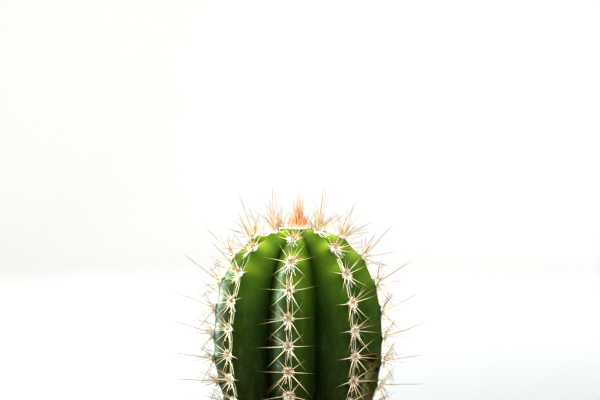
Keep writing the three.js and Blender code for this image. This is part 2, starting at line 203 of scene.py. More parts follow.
cove_profile = [(1.0, COVE_FLOOR_LEVEL), (COVE_FLOOR_RADIUS / 2, COVE_FLOOR_LEVEL)]
for step in range(COVE_BEND_STEPS + 1):
    bend = step / COVE_BEND_STEPS * math.pi / 2
    risen = COVE_BEND * (1 - math.cos(bend)) + COVE_FLOOR_LEVEL
    cove_profile.append((COVE_FLOOR_RADIUS + COVE_BEND * math.sin(bend), risen))
cove_profile.append((COVE_FLOOR_RADIUS + COVE_BEND, COVE_TOP))
cove_rows = turned(cove_profile, COVE_SIDES)
cove_quads, _ = wrapped_grid(len(cove_profile), COVE_SIDES)
cove = make_mesh("paper_cove", cove_rows.reshape(-1, 3), cove_quads.tolist(), paper)

world = bpy.data.worlds.new("white_studio")
scene.world = world
world.use_nodes = True
world.node_tree.nodes["Background"].inputs["Color"].default_value = linear("#FFFFFF")
world.node_tree.nodes["Background"].inputs["Strength"].default_value = SKY_STRENGTH


def soft_box(name, place, target, size, power, colour, mirrored=True):
    """A square soft box, placed, aimed and sized in metres, and its power in watts.

    One that isn't mirrored stands for a box behind a polariser, which leaves no highlight.
    """
    light = bpy.data.lights.new(name, "AREA")
    light.size = size
    light.energy = power
    light.color = linear(colour)[:3]
    holder = bpy.data.objects.new(name, light)
    holder.location = place
    holder.visible_camera = False
    holder.visible_glossy = mirrored
    holder.rotation_euler = (Vector(target) - holder.location).to_track_quat("-Z", "Y").to_euler()
    scene.collection.objects.link(holder)


WALL_BOX_OUT = 0.9
WALL_BOX_UP = 1.4

stem_middle = (0, 0, cad_size[1].z * 0.7)
soft_box("key_box", (-0.50, 0.0, 0.42), stem_middle, 0.32, 1.9, "#FFFEFC", False)
soft_box("edge_box", (-0.85, 0.37, 0.24), stem_middle, 0.42, 19.5, "#E4F9FA")
soft_box("top_box", (0.22, -0.30, 0.52), stem_middle, 0.28, 4.6, "#FFFFFF", False)
for side_name, across, ahead, power in (
    ("back", 0, 1, 13.4),
    ("front", 0, -1, 9.0),
    ("left", -1, 0, 7.0),
    ("right", 1, 0, 7.0),
):
    stand = (WALL_BOX_OUT * across, WALL_BOX_OUT * ahead, WALL_BOX_UP)
    wall_spot = (2.0 * across, 2.0 * ahead, 0.7)
    soft_box(f"{side_name}_wall_box", stand, wall_spot, 1.0, power, "#FFFFFF")

# ---- Pot -----------------------------------------------------------------------------------------
# A plain nursery pot of red earthenware: a tapered shell with a collar, a flat foot and one drain
# hole. It is jiggered in a plaster mould and fired without glaze, so it keeps fine turning lines,
# rounded edges and a few small chips, and lime from the water blooms on its outside.

pot_low, pot_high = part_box("pot")
POT_HEIGHT = (pot_high.z - pot_low.z) / MM
POT_RIM_RADIUS = (pot_high.x - pot_low.x) / 2 / MM
POT_FOOT_RADIUS = 32.0
POT_WALL = 4.5
POT_FLOOR = 6.0
COLLAR_HEIGHT = 19.0
COLLAR_STEP = 2.5
DRAIN_HOLE_RADIUS = 6.0
POT_TAPER = (POT_RIM_RADIUS - COLLAR_STEP - POT_FOOT_RADIUS) / POT_HEIGHT
POT_SIDES = 240
TURNING_PITCH = 1.5
TURNING_DEPTH = 0.05
OUT_OF_ROUND = 0.25
CHIP_SIZE = 4.5
CHIPPED_BAND = 2.2  # below the rim


def pot_outside(z):
    return POT_FOOT_RADIUS + POT_TAPER * z


def pot_inside(z):
    return pot_outside(z) - POT_WALL * math.hypot(1, POT_TAPER)


def rounded_profile(outline, step):
    """A closed outline of (x, z, edge radius) with its edges rounded and its runs cut into steps."""
    points = []
    count = len(outline)
    for i, (x, z, radius) in enumerate(outline):
        here = np.array([x, z])
        before = np.array(outline[i - 1][:2]) - here
        after = np.array(outline[(i + 1) % count][:2]) - here
        before_unit = before / np.linalg.norm(before)
        after_unit = after / np.linalg.norm(after)
        start = here + before_unit * radius
        end = here + after_unit * radius
        for t in np.linspace(0, 1, 7 if radius else 1):
            points.append((1 - t) ** 2 * start + 2 * t * (1 - t) * here + t**2 * end)
    filled = []
    for i, point in enumerate(points):
        onward = points[(i + 1) % len(points)]
        pieces = max(1, math.ceil(np.linalg.norm(onward - point) / step))
        filled.extend(point + (onward - point) * j / pieces for j in range(pieces))
    return np.array(filled)


def noise_at(corners, size, seed):
    """Smooth noise from -1 to 1 at each corner, with lumps of about the given size."""
    shift = Vector((seed * 17.3, seed * 5.1, seed * 9.7))
    return np.array([noise.noise(Vector(c) / size + shift) for c in corners])


def unit(vectors):
    """Vectors along the last axis, all brought to a length of one."""
    return vectors / np.maximum(np.linalg.norm(vectors, axis=-1, keepdims=True), 1e-12)


def outward(corners, faces):
    """Unit normals of the corners of a grid of quads."""
    across = corners[faces[:, 2]] - corners[faces[:, 0]]
    along = corners[faces[:, 3]] - corners[faces[:, 1]]
    flat = np.cross(across, along)
    total = np.zeros_like(corners)
    for i in range(4):
        np.add.at(total, faces[:, i], flat)
    return unit(total)


collar_foot = POT_HEIGHT - COLLAR_HEIGHT
# Radius, height and how far each edge is rounded off
pot_outline = [
    (DRAIN_HOLE_RADIUS, 0, 0.7),
    (POT_FOOT_RADIUS, 0, 1.4),
    (pot_outside(collar_foot), collar_foot, 0.5),
    (pot_outside(collar_foot) + COLLAR_STEP, collar_foot, 0.9),
    (POT_RIM_RADIUS, POT_HEIGHT, 1.7),
    (pot_inside(POT_HEIGHT), POT_HEIGHT, 1.7),
    (pot_inside(POT_FLOOR), POT_FLOOR, 2.0),
    (DRAIN_HOLE_RADIUS, POT_FLOOR, 0.7),
]
pot_profile = rounded_profile(pot_outline, 0.9)
pot_rows = turned(pot_profile, POT_SIDES)
pot_corners = pot_rows.reshape(-1, 3)
pot_quads, pot_unfolded = wrapped_grid(len(pot_profile), POT_SIDES, closed=True)
pot_normals = outward(pot_corners, pot_quads)
pot_walls = 1 - np.abs(pot_normals[:, 2])
turning = np.sin(pot_corners[:, 2] / TURNING_PITCH * 2 * np.pi + noise_at(pot_corners, 25.0, 1) * 3)
lumps = noise_at(pot_corners, 30.0, 2) * OUT_OF_ROUND + noise_at(pot_corners, 3.0, 3) * 0.05
chips = np.clip(noise_at(pot_corners, CHIP_SIZE, 4) - 0.62, 0, None) * 3.0
near_edge = np.clip((pot_corners[:, 2] - POT_HEIGHT + CHIPPED_BAND) / CHIPPED_BAND, 0, 1)
near_edge = near_edge + np.exp(-(((pot_corners[:, 2] - collar_foot) / 0.8) ** 2))
near_edge = near_edge * (np.hypot(pot_corners[:, 0], pot_corners[:, 1]) > POT_FOOT_RADIUS)
pot_shift = TURNING_DEPTH * turning * pot_walls + lumps * pot_walls - chips * near_edge
pot_corners = pot_corners + pot_normals * pot_shift[:, None]

# Earthenware, biscuit fired: dusty and fully matt, red-orange with paler lime bloom and dark grog.
terracotta, tree, place = begin_material("biscuit_fired_earthenware")
# The clay is clouded in patches of about 18 mm
cloud = add(
    tree,
    "ShaderNodeTexNoise",
    {"Scale": 55.0, "Detail": 5.0, "Roughness": 0.6},
    {"Vector": (place, "Object")},
)
clay = add(
    tree,
    "ShaderNodeValToRGB",
    {"stops": [(0.3, "#90583F"), (0.5, "#A76A50"), (0.72, "#B98066")]},
    {"Fac": (cloud, "Fac")},
)
# Grog grains are 0.3 to 0.6 mm across
grog = add(tree, "ShaderNodeTexVoronoi", {"Scale": 1400.0}, {"Vector": (place, "Object")})
grog_shade = add(
    tree,
    "ShaderNodeValToRGB",
    {"stops": [(0.0, "#8B6A5C"), (0.22, "#F2F2F2"), (0.85, "#FFFFFF"), (1.0, "#FFE9D8")]},
    {"Fac": (grog, "Distance")},
)
grained = add(
    tree,
    "ShaderNodeMix",
    {"data_type": "RGBA", "blend_type": "MULTIPLY", 0: 0.5},
    {6: (clay, 0), 7: (grog_shade, 0)},
)
# Lime blooms in patches of about 8 mm
bloom_cloud = add(
    tree,
    "ShaderNodeTexNoise",
    {"Scale": 130.0, "Detail": 9.0, "Roughness": 0.68, "Distortion": 0.6},
    {"Vector": (place, "Object")},
)
apart = add(tree, "ShaderNodeSeparateXYZ", {}, {"Vector": (place, "Object")})
height_share = add(
    tree,
    "ShaderNodeMapRange",
    {"From Min": 0.0, "From Max": POT_HEIGHT * MM},
    {"Value": (apart, "Z")},
)
# Lime gathers along the foot and just under the collar, where the wall dries last
damp = add(
    tree,
    "ShaderNodeValToRGB",
    {
        "stops": [
            (0.0, "#8C8C8C"),
            (0.25, "#303030"),
            (0.6, "#202020"),
            (0.72, "#7C7C7C"),
            (1.0, "#5A5A5A"),
        ]
    },
    {"Fac": (height_share, 0)},
)
bloom_sum = add(
    tree, "ShaderNodeMath", {"operation": "ADD"}, {0: (bloom_cloud, "Fac"), 1: (damp, 0)}
)
bloom = add(
    tree,
    "ShaderNodeMapRange",
    {"From Min": 0.72, "From Max": 1.15, "To Max": 0.75},
    {"Value": (bloom_sum, 0)},
)
limed = add(
    tree,
    "ShaderNodeMix",
    {"data_type": "RGBA", 7: linear("#D8C8BA")},
    {0: (bloom, 0), 6: (grained, 2)},
)
# A fired surface has a tooth of about half a millimetre
grain = add(tree, "ShaderNodeTexNoise", {"Scale": 2200.0, "Detail": 4.0}, {"Vector": (place, "Object")})
relief = add(
    tree, "ShaderNodeBump", {"Strength": 0.35, "Distance": 0.0002}, {"Height": (grain, "Fac")}
)
dry = add(
    tree, "ShaderNodeMapRange", {"To Min": 0.78, "To Max": 0.95}, {"Value": (bloom_cloud, "Fac")}
)
shader = add(
    tree,
    "ShaderNodeBsdfPrincipled",
    {"IOR": 1.5, "Specular IOR Level": 0.3},
    {"Base Color": (limed, 2), "Roughness": (dry, 0), "Normal": (relief, 0)},
)
add(tree, "ShaderNodeOutputMaterial", {}, {"Surface": (shader, 0)})

pot = make_mesh("clay_pot", pot_corners, pot_quads[:, ::-1].tolist(), terracotta, pot_unfolded[:, ::-1])
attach(pot, "root")
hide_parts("pot")

# ---- Crock ---------------------------------------------------------------------------------------
# A curved shard from a broken pot of the same clay, laid hollow side down over the drain hole so
# that water gets out and the mix stays in. Its edges are broken, so they wander and are rough.

CROCK_RADIUS = 26.0
CROCK_THICKNESS = 4.5
CROCK_HALF_ANGLE = math.radians(38)
CROCK_HALF_LENGTH = 12.0
CROCK_TURN = math.radians(25)
CROCK_GAP = 0.3
CROCK_ROUGHNESS = 0.12
CROCK_CUTS = 40

crock_springing = (CROCK_RADIUS - CROCK_THICKNESS) * math.cos(CROCK_HALF_ANGLE)
share = np.linspace(-1, 1, CROCK_CUTS)
around, along = [grid.ravel() for grid in np.meshgrid(share, share, indexing="ij")]


def crock_skin(radius, seed):
    """One face of the shard: a curved sheet whose outline is broken in and out."""
    edge = np.maximum(np.abs(around), np.abs(along))
    bearing = np.stack([around, along, edge * 0 + seed], axis=1) / np.maximum(edge, 1e-6)[:, None]
    worn = 1 - 0.05 * (1 + noise_at(bearing, 0.35, seed)) * edge**3
    angle = around * worn * CROCK_HALF_ANGLE
    spots = np.stack([angle * CROCK_RADIUS, along * CROCK_HALF_LENGTH, angle * 0], axis=1)
    rough = radius + CROCK_ROUGHNESS * noise_at(spots, 2.0, seed)
    flat = np.stack([rough * np.sin(angle), along * worn * CROCK_HALF_LENGTH], axis=1)
    turn = np.array(
        [
            [math.cos(CROCK_TURN), math.sin(CROCK_TURN)],
            [-math.sin(CROCK_TURN), math.cos(CROCK_TURN)],
        ]
    )
    rise = rough * np.cos(angle) + POT_FLOOR + CROCK_GAP - crock_springing
    return np.column_stack([flat @ turn, rise])


sheet_corner = np.arange(CROCK_CUTS * CROCK_CUTS).reshape(CROCK_CUTS, CROCK_CUTS)
sheet_quads = np.stack(
    [sheet_corner[:-1, :-1], sheet_corner[1:, :-1], sheet_corner[1:, 1:], sheet_corner[:-1, 1:]], axis=2
).reshape(-1, 4)
rim_loop = np.concatenate(
    [sheet_corner[0, :-1], sheet_corner[:-1, -1], sheet_corner[-1, :0:-1], sheet_corner[:0:-1, 0]]
)
under = CROCK_CUTS * CROCK_CUTS
rim_next = np.roll(rim_loop, -1)
crock_faces = np.concatenate(
    [
        sheet_quads,
        sheet_quads[:, ::-1] + under,
        np.stack([rim_loop, rim_next, rim_next + under, rim_loop + under], axis=1),
    ]
)
crock_corners = np.concatenate(
    [crock_skin(CROCK_RADIUS - 0.15, 5), crock_skin(CROCK_RADIUS - CROCK_THICKNESS + 0.15, 6)]
)
crock = make_mesh("clay_crock", crock_corners, crock_faces.tolist(), terracotta)
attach(crock, "root")
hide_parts("drain_crock")

# ---- Potting mix ---------------------------------------------------------------------------------
# Peat and composted bark with pumice grit, filled in round the roots to a finger's width under the
# rim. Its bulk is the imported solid. A crust of settled peat covers that, and loose crumbs, pale
# pumice and bark fibres lie on the crust.

MIX_TOP = 69.0
MIX_MOUND = 1.2
NECK_RADIUS = 19.0
CRUST_SIDES = 420
CRUST_RINGS = 46
CRUST_GAP = 0.3
CRUST_THICKNESS = 0.25
CLOD_HEIGHT = 0.75
CRUMB_HEIGHT = 0.55
SAND_HEIGHT = 0.15
CRUMBS = 1500
PUMICE_GRAINS = 95
BARK_FIBRES = 110

# Peat, settled and half dry: dark brown and fully matt, with paler fibres and near-black crumbs.
peat, tree, place = begin_material("settled_dry_peat")
# Clods of 2 to 3 mm, broken up into crumbs of 1 mm
clods = add(
    tree,
    "ShaderNodeTexNoise",
    {"Scale": 420.0, "Detail": 8.0, "Roughness": 0.7},
    {"Vector": (place, "Object")},
)
brown = add(
    tree,
    "ShaderNodeValToRGB",
    {"stops": [(0.3, "#1D130D"), (0.48, "#33231A"), (0.62, "#4A3425"), (0.8, "#6B4E38")]},
    {"Fac": (clods, "Fac")},
)
crumbly = add(tree, "ShaderNodeTexVoronoi", {"Scale": 900.0}, {"Vector": (place, "Object")})
depth = add(
    tree, "ShaderNodeMath", {"operation": "ADD"}, {0: (crumbly, "Distance"), 1: (clods, "Fac")}
)
relief = add(
    tree, "ShaderNodeBump", {"Strength": 0.8, "Distance": 0.0006}, {"Height": (depth, 0)}
)
shader = add(
    tree,
    "ShaderNodeBsdfPrincipled",
    {"Roughness": 0.95, "Specular IOR Level": 0.2},
    {"Base Color": (brown, 0), "Normal": (relief, 0)},
)
add(tree, "ShaderNodeOutputMaterial", {}, {"Surface": (shader, 0)})

# Pumice, crushed: off-white, chalky and matt, with tiny open pores.
pumice, tree, place = begin_material("crushed_pumice")
# Open pores about 0.4 mm apart
pores = add(tree, "ShaderNodeTexVoronoi", {"Scale": 2600.0}, {"Vector": (place, "Object")})
chalk = add(
    tree,
    "ShaderNodeValToRGB",
    {"stops": [(0.05, "#71675A"), (0.3, "#B3A999"), (0.8, "#D2CABC")]},
    {"Fac": (pores, "Distance")},
)
relief = add(
    tree, "ShaderNodeBump", {"Strength": 0.6, "Distance": 0.0003}, {"Height": (pores, "Distance")}
)
shader = add(
    tree,
    "ShaderNodeBsdfPrincipled",
    {"Roughness": 0.9},
    {"Base Color": (chalk, 0), "Normal": (relief, 0)},
)
add(tree, "ShaderNodeOutputMaterial", {}, {"Surface": (shader, 0)})

# Bark fibre, shredded: tan to red-brown, dry and stringy.
bark, tree, place = begin_material("shredded_bark_fibre")
# Streaks of 1 to 2 mm along and across the fibres
streaks = add(tree, "ShaderNodeTexNoise", {"Scale": 700.0, "Detail": 3.0}, {"Vector": (place, "Object")})
tan = add(
    tree,
    "ShaderNodeValToRGB",
    {"stops": [(0.3, "#4A2F1E"), (0.55, "#7A5535"), (0.8, "#A58259")]},
    {"Fac": (streaks, "Fac")},
)
shader = add(tree, "ShaderNodeBsdfPrincipled", {"Roughness": 0.85}, {"Base Color": (tan, 0)})
add(tree, "ShaderNodeOutputMaterial", {}, {"Surface": (shader, 0)})

# The crust fits round the stem's neck, so these sizes of the stem are given here
GROOVE_DEPTH = 8.5
GROOVE_TAPER = 0.85
CREST_ROUNDING = 1.35
STEM_RADIUS = 30.2
RIBS = 8
SECTOR = 2 * math.pi / RIBS
PLANT_TURN = math.radians(-96)  # the first rib's bearing from +X


def off_crest(bearing):
    """How far each bearing is from its nearest rib's crest: 0 on the crest and 1 in the groove."""
    ribs_round = (np.asarray(bearing) - PLANT_TURN) / SECTOR
    return np.abs(ribs_round - np.round(ribs_round)) * 2


def mix_height(radius):
    """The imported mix's own level, which slopes down from the stem to the pot."""
    wall = pot_inside(MIX_TOP) - CRUST_GAP
    fallen = np.clip((radius - NECK_RADIUS) / (wall - NECK_RADIUS), 0, 1)
    return MIX_TOP + MIX_MOUND * (1 - fallen)


def crust_height(x, y):
    """The crust's level: clods of a few millimetres over crumbs of less than one."""
    spots = np.stack([x, y, x * 0], axis=1)
    clod = np.clip(noise_at(spots, 5.5, 11) + 0.35, 0, None)
    crumb = np.abs(noise_at(spots, 1.6, 12))
    sand = noise_at(spots, 0.7, 13)
    level = mix_height(np.hypot(x, y)) + CRUST_THICKNESS
    return level + CLOD_HEIGHT * clod + CRUMB_HEIGHT * crumb + SAND_HEIGHT * sand


bearing = np.arange(CRUST_SIDES) / CRUST_SIDES * 2 * np.pi
neck_groove = GROOVE_DEPTH * (NECK_RADIUS / STEM_RADIUS) ** GROOVE_TAPER
crust_inside = NECK_RADIUS - neck_groove * off_crest(bearing) ** CREST_ROUNDING + CRUST_GAP
crust_outside = pot_inside(MIX_TOP) - CRUST_GAP
ring_share = np.linspace(0, 1, CRUST_RINGS)[:, None]
ring_radius = crust_inside + (crust_outside - crust_inside) * ring_share
top_x = (ring_radius * np.cos(bearing)).ravel()
top_y = (ring_radius * np.sin(bearing)).ravel()
crust_top = np.column_stack([top_x, top_y, crust_height(top_x, top_y)])
edge_x = np.concatenate([top_x[-CRUST_SIDES:], top_x[:CRUST_SIDES]])
edge_y = np.concatenate([top_y[-CRUST_SIDES:], top_y[:CRUST_SIDES]])
crust_bottom = np.column_stack([edge_x, edge_y, mix_height(np.hypot(edge_x, edge_y)) + 0.02])
crust_quads, crust_unfolded = wrapped_grid(CRUST_RINGS + 2, CRUST_SIDES, closed=True)
crust_corners = np.concatenate([crust_top, crust_bottom])
crust = make_mesh("peat_crust", crust_corners, crust_quads.tolist(), peat, crust_unfolded)
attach(crust, "root")
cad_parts["potting_mix"].material_slots[0].material = peat


def ball(cuts):
    """Corners and faces of a unit ball, as the start of a lump."""
    shape = bmesh.new()
    bmesh.ops.create_icosphere(shape, subdivisions=cuts, radius=1.0)
    corners = np.array([v.co for v in shape.verts])
    faces = np.array([[v.index for v in f.verts] for f in shape.faces])
    shape.free()
    return corners, faces


def random_turns(draw, count):
    """Rotation matrices in all directions alike."""
    q = draw.normal(size=(count, 4))
    w, x, y, z = (q / np.linalg.norm(q, axis=1, keepdims=True)).T
    rows = [
        [1 - 2 * (y * y + z * z), 2 * (x * y - z * w), 2 * (x * z + y * w)],
        [2 * (x * y + z * w), 1 - 2 * (x * x + z * z), 2 * (y * z - x * w)],
        [2 * (x * z - y * w), 2 * (y * z + x * w), 1 - 2 * (x * x + y * y)],
    ]
    return np.array(rows).transpose(2, 0, 1)


def lumps_at(places, sizes, cuts, raggedness, draw):
    """One mesh's corners and faces for a lump of its own shape at each place."""
    corners, faces = ball(cuts)
    count = len(places)
    stretch = sizes[:, None, None] * draw.uniform(0.6, 1.25, (count, 1, 3))
    ragged = 1 + raggedness * draw.uniform(-1, 1, (count, len(corners), 1))
    shaped = corners[None] * ragged * stretch
    placed = np.einsum("nij,nkj->nki", random_turns(draw, count), shaped) + places[:, None, :]
    all_faces = faces[None] + (np.arange(count) * len(corners))[:, None, None]
    return placed.reshape(-1, 3), all_faces.reshape(-1, 3)


def scattered_on_mix(draw, count, margin):
    """Places on the crust between the stem and the pot."""
    turn = draw.uniform(0, 2 * np.pi, count)
    groove = neck_groove * off_crest(turn) ** CREST_ROUNDING
    inside = NECK_RADIUS - groove + margin
    outside = crust_outside - margin
    radius = np.sqrt(draw.uniform(inside**2, outside**2))
    x = radius * np.cos(turn)
    y = radius * np.sin(turn)
    return np.column_stack([x, y, crust_height(x, y)])


draw = np.random.default_rng(21)
crumb_sizes = 0.35 + 0.85 * draw.random(CRUMBS) ** 2.2
crumb_places = scattered_on_mix(draw, CRUMBS, 0.9)
crumb_places[:, 2] += crumb_sizes * 0.3
crumb_corners, crumb_faces = lumps_at(crumb_places, crumb_sizes, 1, 0.22, draw)
crumbs = make_mesh("peat_crumbs", crumb_corners, crumb_faces.tolist(), peat)
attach(crumbs, "root")

draw = np.random.default_rng(22)
grain_sizes = 0.4 + 1.1 * draw.random(PUMICE_GRAINS) ** 2.5
grain_places = scattered_on_mix(draw, PUMICE_GRAINS, 1.4)
grain_places[:, 2] += grain_sizes * 0.35
grain_corners, grain_faces = lumps_at(grain_places, grain_sizes, 2, 0.1, draw)
grains = make_mesh("pumice_grit", grain_corners, grain_faces.tolist(), pumice)
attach(grains, "root")


def strands(paths, radii, sides):
    """Corners, faces, unfolded map and values of round strands along paths, one path for each.

    The values are each corner's share of the way from base to tip, and how many corners a strand has.
    """
    count, rings, _ = paths.shape
    ahead = unit(np.gradient(paths, axis=1))
    run = paths[:, -1] - paths[:, 0]
    steep = np.abs(run[:, 2:3]) > 0.8 * np.linalg.norm(run, axis=1)[:, None]
    helper = np.where(steep, [[1.0, 0, 0]], [[0, 0, 1.0]])
    across = unit(np.cross(ahead, helper[:, None, :]))
    third = np.cross(ahead, across)
    turn = np.arange(sides) / sides * 2 * np.pi
    ring = across[:, :, None, :] * np.cos(turn)[None, None, :, None]
    ring = ring + third[:, :, None, :] * np.sin(turn)[None, None, :, None]
    corners = paths[:, :, None, :] + ring * np.broadcast_to(radii, (count, rings))[:, :, None, None]
    quads, flat = wrapped_grid(rings, sides)
    cells = math.ceil(math.sqrt(count))
    shift = np.stack([np.arange(count) % cells, np.arange(count) // cells], axis=1)
    offset = (np.arange(count) * rings * sides)[:, None]
    faces = (quads[None] + offset[:, :, None]).reshape(-1, 4).tolist()
    unfolded = ((flat[None] * 0.9 + shift[:, None, None, :]) / cells).reshape(-1, 2)
    base_cap = np.arange(sides)[::-1][None] + offset
    tip_cap = np.arange(sides)[None] + (rings - 1) * sides + offset
    faces += base_cap.tolist() + tip_cap.tolist()
    base_map = np.repeat((shift + 0.01) / cells, sides, axis=0)
    tip_map = np.repeat((shift + 0.89) / cells, sides, axis=0)
    unfolded = np.concatenate([unfolded, base_map, tip_map])
    along = np.broadcast_to(np.linspace(0, 1, rings)[None, :, None], (count, rings, sides)).ravel()
    return corners.reshape(-1, 3), faces, unfolded, along, rings * sides


draw = np.random.default_rng(23)
fibre_start = scattered_on_mix(draw, BARK_FIBRES, 3.5)
fibre_turn = draw.uniform(0, 2 * np.pi, BARK_FIBRES)
fibre_length = draw.uniform(2.0, 5.5, BARK_FIBRES)
fibre_taper = np.array([0.3, 0.8, 1, 1.1, 0.9, 0.8, 0.25])
reach = np.linspace(-0.5, 0.5, len(fibre_taper))
bend = draw.uniform(-1.0, 1.0, BARK_FIBRES)[:, None] * reach**2
fibre_x = fibre_start[:, 0:1] + fibre_length[:, None] * (
    reach * np.cos(fibre_turn)[:, None] - bend * np.sin(fibre_turn)[:, None]
)
fibre_y = fibre_start[:, 1:2] + fibre_length[:, None] * (
    reach * np.sin(fibre_turn)[:, None] + bend * np.cos(fibre_turn)[:, None]
)
fibre_z = crust_height(fibre_x.ravel(), fibre_y.ravel()).reshape(fibre_x.shape) + 0.35
fibre_paths = np.stack([fibre_x, fibre_y, fibre_z], axis=2)
fibre_radii = draw.uniform(0.12, 0.38, BARK_FIBRES)[:, None] * fibre_taper
fibre_corners, fibre_faces, fibre_map, _, _ = strands(fibre_paths, fibre_radii, 5)
fibres = make_mesh("bark_fibres", fibre_corners, fibre_faces, bark, fibre_map)
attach(fibres, "root")

# ---- Stem ----------------------------------------------------------------------------------------
# One round succulent stem with eight deep ribs, grown in one piece with its root. Its skin is taut
# and waxy, yellow-green where it is young and round the youngest areoles, and deep green under a
# bluish bloom lower down. A corky scar with two dark pits is on its right, and it corks at the soil.

stem_low, stem_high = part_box("stem")
STEM_TOP = 79.0  # above the mix
ROOT_LINE = stem_high.z / MM - STEM_TOP
CROWN_HEIGHT = 41.0
WAIST_HEIGHT = 38.0
CROWN_FULLNESS = 2.4
BUMP_HEIGHT = 0.8
BUMP_SPREAD = 0.35
FIRST_AREOLE = 10.6
HALF_STEP = 5.5
STEP_SHRINK = 0.055
HALF_STEPS = 17
COLUMNS_PER_SIDE = 24
STEM_COLUMNS = 2 * COLUMNS_PER_SIDE * RIBS
STEM_RINGS = 230
TAPROOT_DEPTH = 38.0
TAPROOT_SHOULDER = 13.0
TAPROOT_RADIUS = 8.5
TAPROOT_TIP_RADIUS = 1.5
ROOT_RINGS = 18
NOTCH_ABOVE = 2.3  # a short dent in the crest, this far over each areole
NOTCH_HALF_HEIGHT = 0.8
NOTCH_SPREAD = 0.22
NOTCH_DEPTH = 0.35
GLOW_ABOVE = 3.2  # the yellow-green patch over a young areole
GLOW_HALF_HEIGHT = 2.6
GLOW_SPREAD = 0.45
GLOW_STEPS = 6


def crest_line(t):
    """Radius and height of a rib's crest, from the crown at 0 to the mix at 1."""
    angle = np.minimum(t, 0.5) * np.pi
    power = 2 / CROWN_FULLNESS
    down = np.clip(2 * t - 1, 0, None)
    cosine = np.clip(np.cos(angle), 0, None)
    over = t < 0.5
    narrowed = STEM_RADIUS - (STEM_RADIUS - NECK_RADIUS) * down**2
    radius = np.where(over, STEM_RADIUS * np.sin(angle) ** power, narrowed)
    height = np.where(over, WAIST_HEIGHT + CROWN_HEIGHT * cosine**power, WAIST_HEIGHT * (1 - down))
    return radius, height


fine_t = np.linspace(0, 1, 4001)
fine_radius, fine_height = crest_line(fine_t)
fine_arc = np.concatenate([[0], np.cumsum(np.hypot(np.diff(fine_radius), np.diff(fine_height)))])
CREST_LENGTH = fine_arc[-1]


def crest_at(arc):
    """Radius, height, and the outward normal's two parts, at lengths down the crest."""
    arc = np.clip(arc, 0.02, CREST_LENGTH - 0.02)
    radius = np.interp(arc, fine_arc, fine_radius)
    height = np.interp(arc, fine_arc, fine_height)
    out = np.interp(arc + 0.02, fine_arc, fine_radius) - np.interp(arc - 0.02, fine_arc, fine_radius)
    down = np.interp(arc - 0.02, fine_arc, fine_height) - np.interp(arc + 0.02, fine_arc, fine_height)
    size = np.hypot(out, down)
    return radius, height, down / size, out / size


def areole_arc(half_step):
    return FIRST_AREOLE + HALF_STEP * half_step - STEP_SHRINK * half_step**2


def has_areole(rib, half_step):
    return (rib + half_step) % 2 == 1


def groove_at(radius):
    return GROOVE_DEPTH * (np.maximum(radius, 0) / STEM_RADIUS) ** GROOVE_TAPER


ring_arc = np.linspace(0.15, CREST_LENGTH, STEM_RINGS)
ring_radius, ring_height, ring_out, ring_up = crest_at(ring_arc)
ring_groove = groove_at(ring_radius)
root_share = np.arange(1, ROOT_RINGS + 1) / ROOT_RINGS
root_depth = TAPROOT_DEPTH * root_share**1.15
shoulder_radius = (NECK_RADIUS + TAPROOT_RADIUS) / 2
root_levels = [0, TAPROOT_SHOULDER / 2, TAPROOT_SHOULDER, TAPROOT_DEPTH]
root_widths = [NECK_RADIUS, shoulder_radius, TAPROOT_RADIUS, TAPROOT_TIP_RADIUS]
root_radius = np.interp(root_depth, root_levels, root_widths)
root_groove = np.interp(root_depth, root_levels[:3], [ring_groove[-1], ring_groove[-1] / 3, 0])
all_radius = np.concatenate([ring_radius, root_radius])[:, None]
all_height = np.concatenate([ring_height, -root_depth])[:, None]
all_groove = np.concatenate([ring_groove, root_groove])[:, None]
all_out = np.concatenate([ring_out, np.ones(ROOT_RINGS)])[:, None]
all_up = np.concatenate([ring_up, np.zeros(ROOT_RINGS)])[:, None]
all_arc = np.concatenate([ring_arc, CREST_LENGTH + root_depth])[:, None]

# Columns crowd towards the grooves, so that a groove's bottom stays a sharp crease
towards_groove = 1 - (1 - np.arange(COLUMNS_PER_SIDE) / COLUMNS_PER_SIDE) ** 1.5
one_rib = np.concatenate([towards_groove, [1.0], 2 - towards_groove[:0:-1]]) / 2
bearing = (np.arange(RIBS)[:, None] + one_rib).ravel()[None, :] * SECTOR + PLANT_TURN
off = off_crest(bearing)
nearest_rib = np.round((bearing - PLANT_TURN) / SECTOR).astype(int) % RIBS
# Each areole sits on a swelling of its crest, with a dent and, while it is young, a glow over it
swelling = np.zeros((len(all_arc), STEM_COLUMNS))
notch = np.zeros_like(swelling)
glow = np.zeros_like(swelling)
for half_step in range(HALF_STEPS):
    below = all_arc - areole_arc(half_step)
    grown = 0.5 * (1 + np.cos(np.pi * np.clip(below / HALF_STEP, -1, 1)))
    here = has_areole(nearest_rib, half_step)
    swelling += grown * np.exp(-((off / BUMP_SPREAD) ** 2)) * here
    notch_height = np.exp(-(((below + NOTCH_ABOVE) / NOTCH_HALF_HEIGHT) ** 2))
    notch += notch_height * np.exp(-((off / NOTCH_SPREAD) ** 2)) * here
    young = max(0.0, 1 - half_step / GLOW_STEPS)
    glow_height = young * np.exp(-(((below + GLOW_ABOVE) / GLOW_HALF_HEIGHT) ** 2))
    glow += glow_height * np.exp(-((off / GLOW_SPREAD) ** 2)) * here
reach_out = BUMP_HEIGHT * swelling - NOTCH_DEPTH * notch - all_groove * off**CREST_ROUNDING
reach = all_radius + all_out * reach_out
level = all_height + all_up * reach_out
stem_corners = np.stack([reach * np.cos(bearing), reach * np.sin(bearing), level + ROOT_LINE], axis=2)
stem_corners = stem_corners.reshape(-1, 3)
stem_quads, stem_unfolded = wrapped_grid(len(all_arc), STEM_COLUMNS)

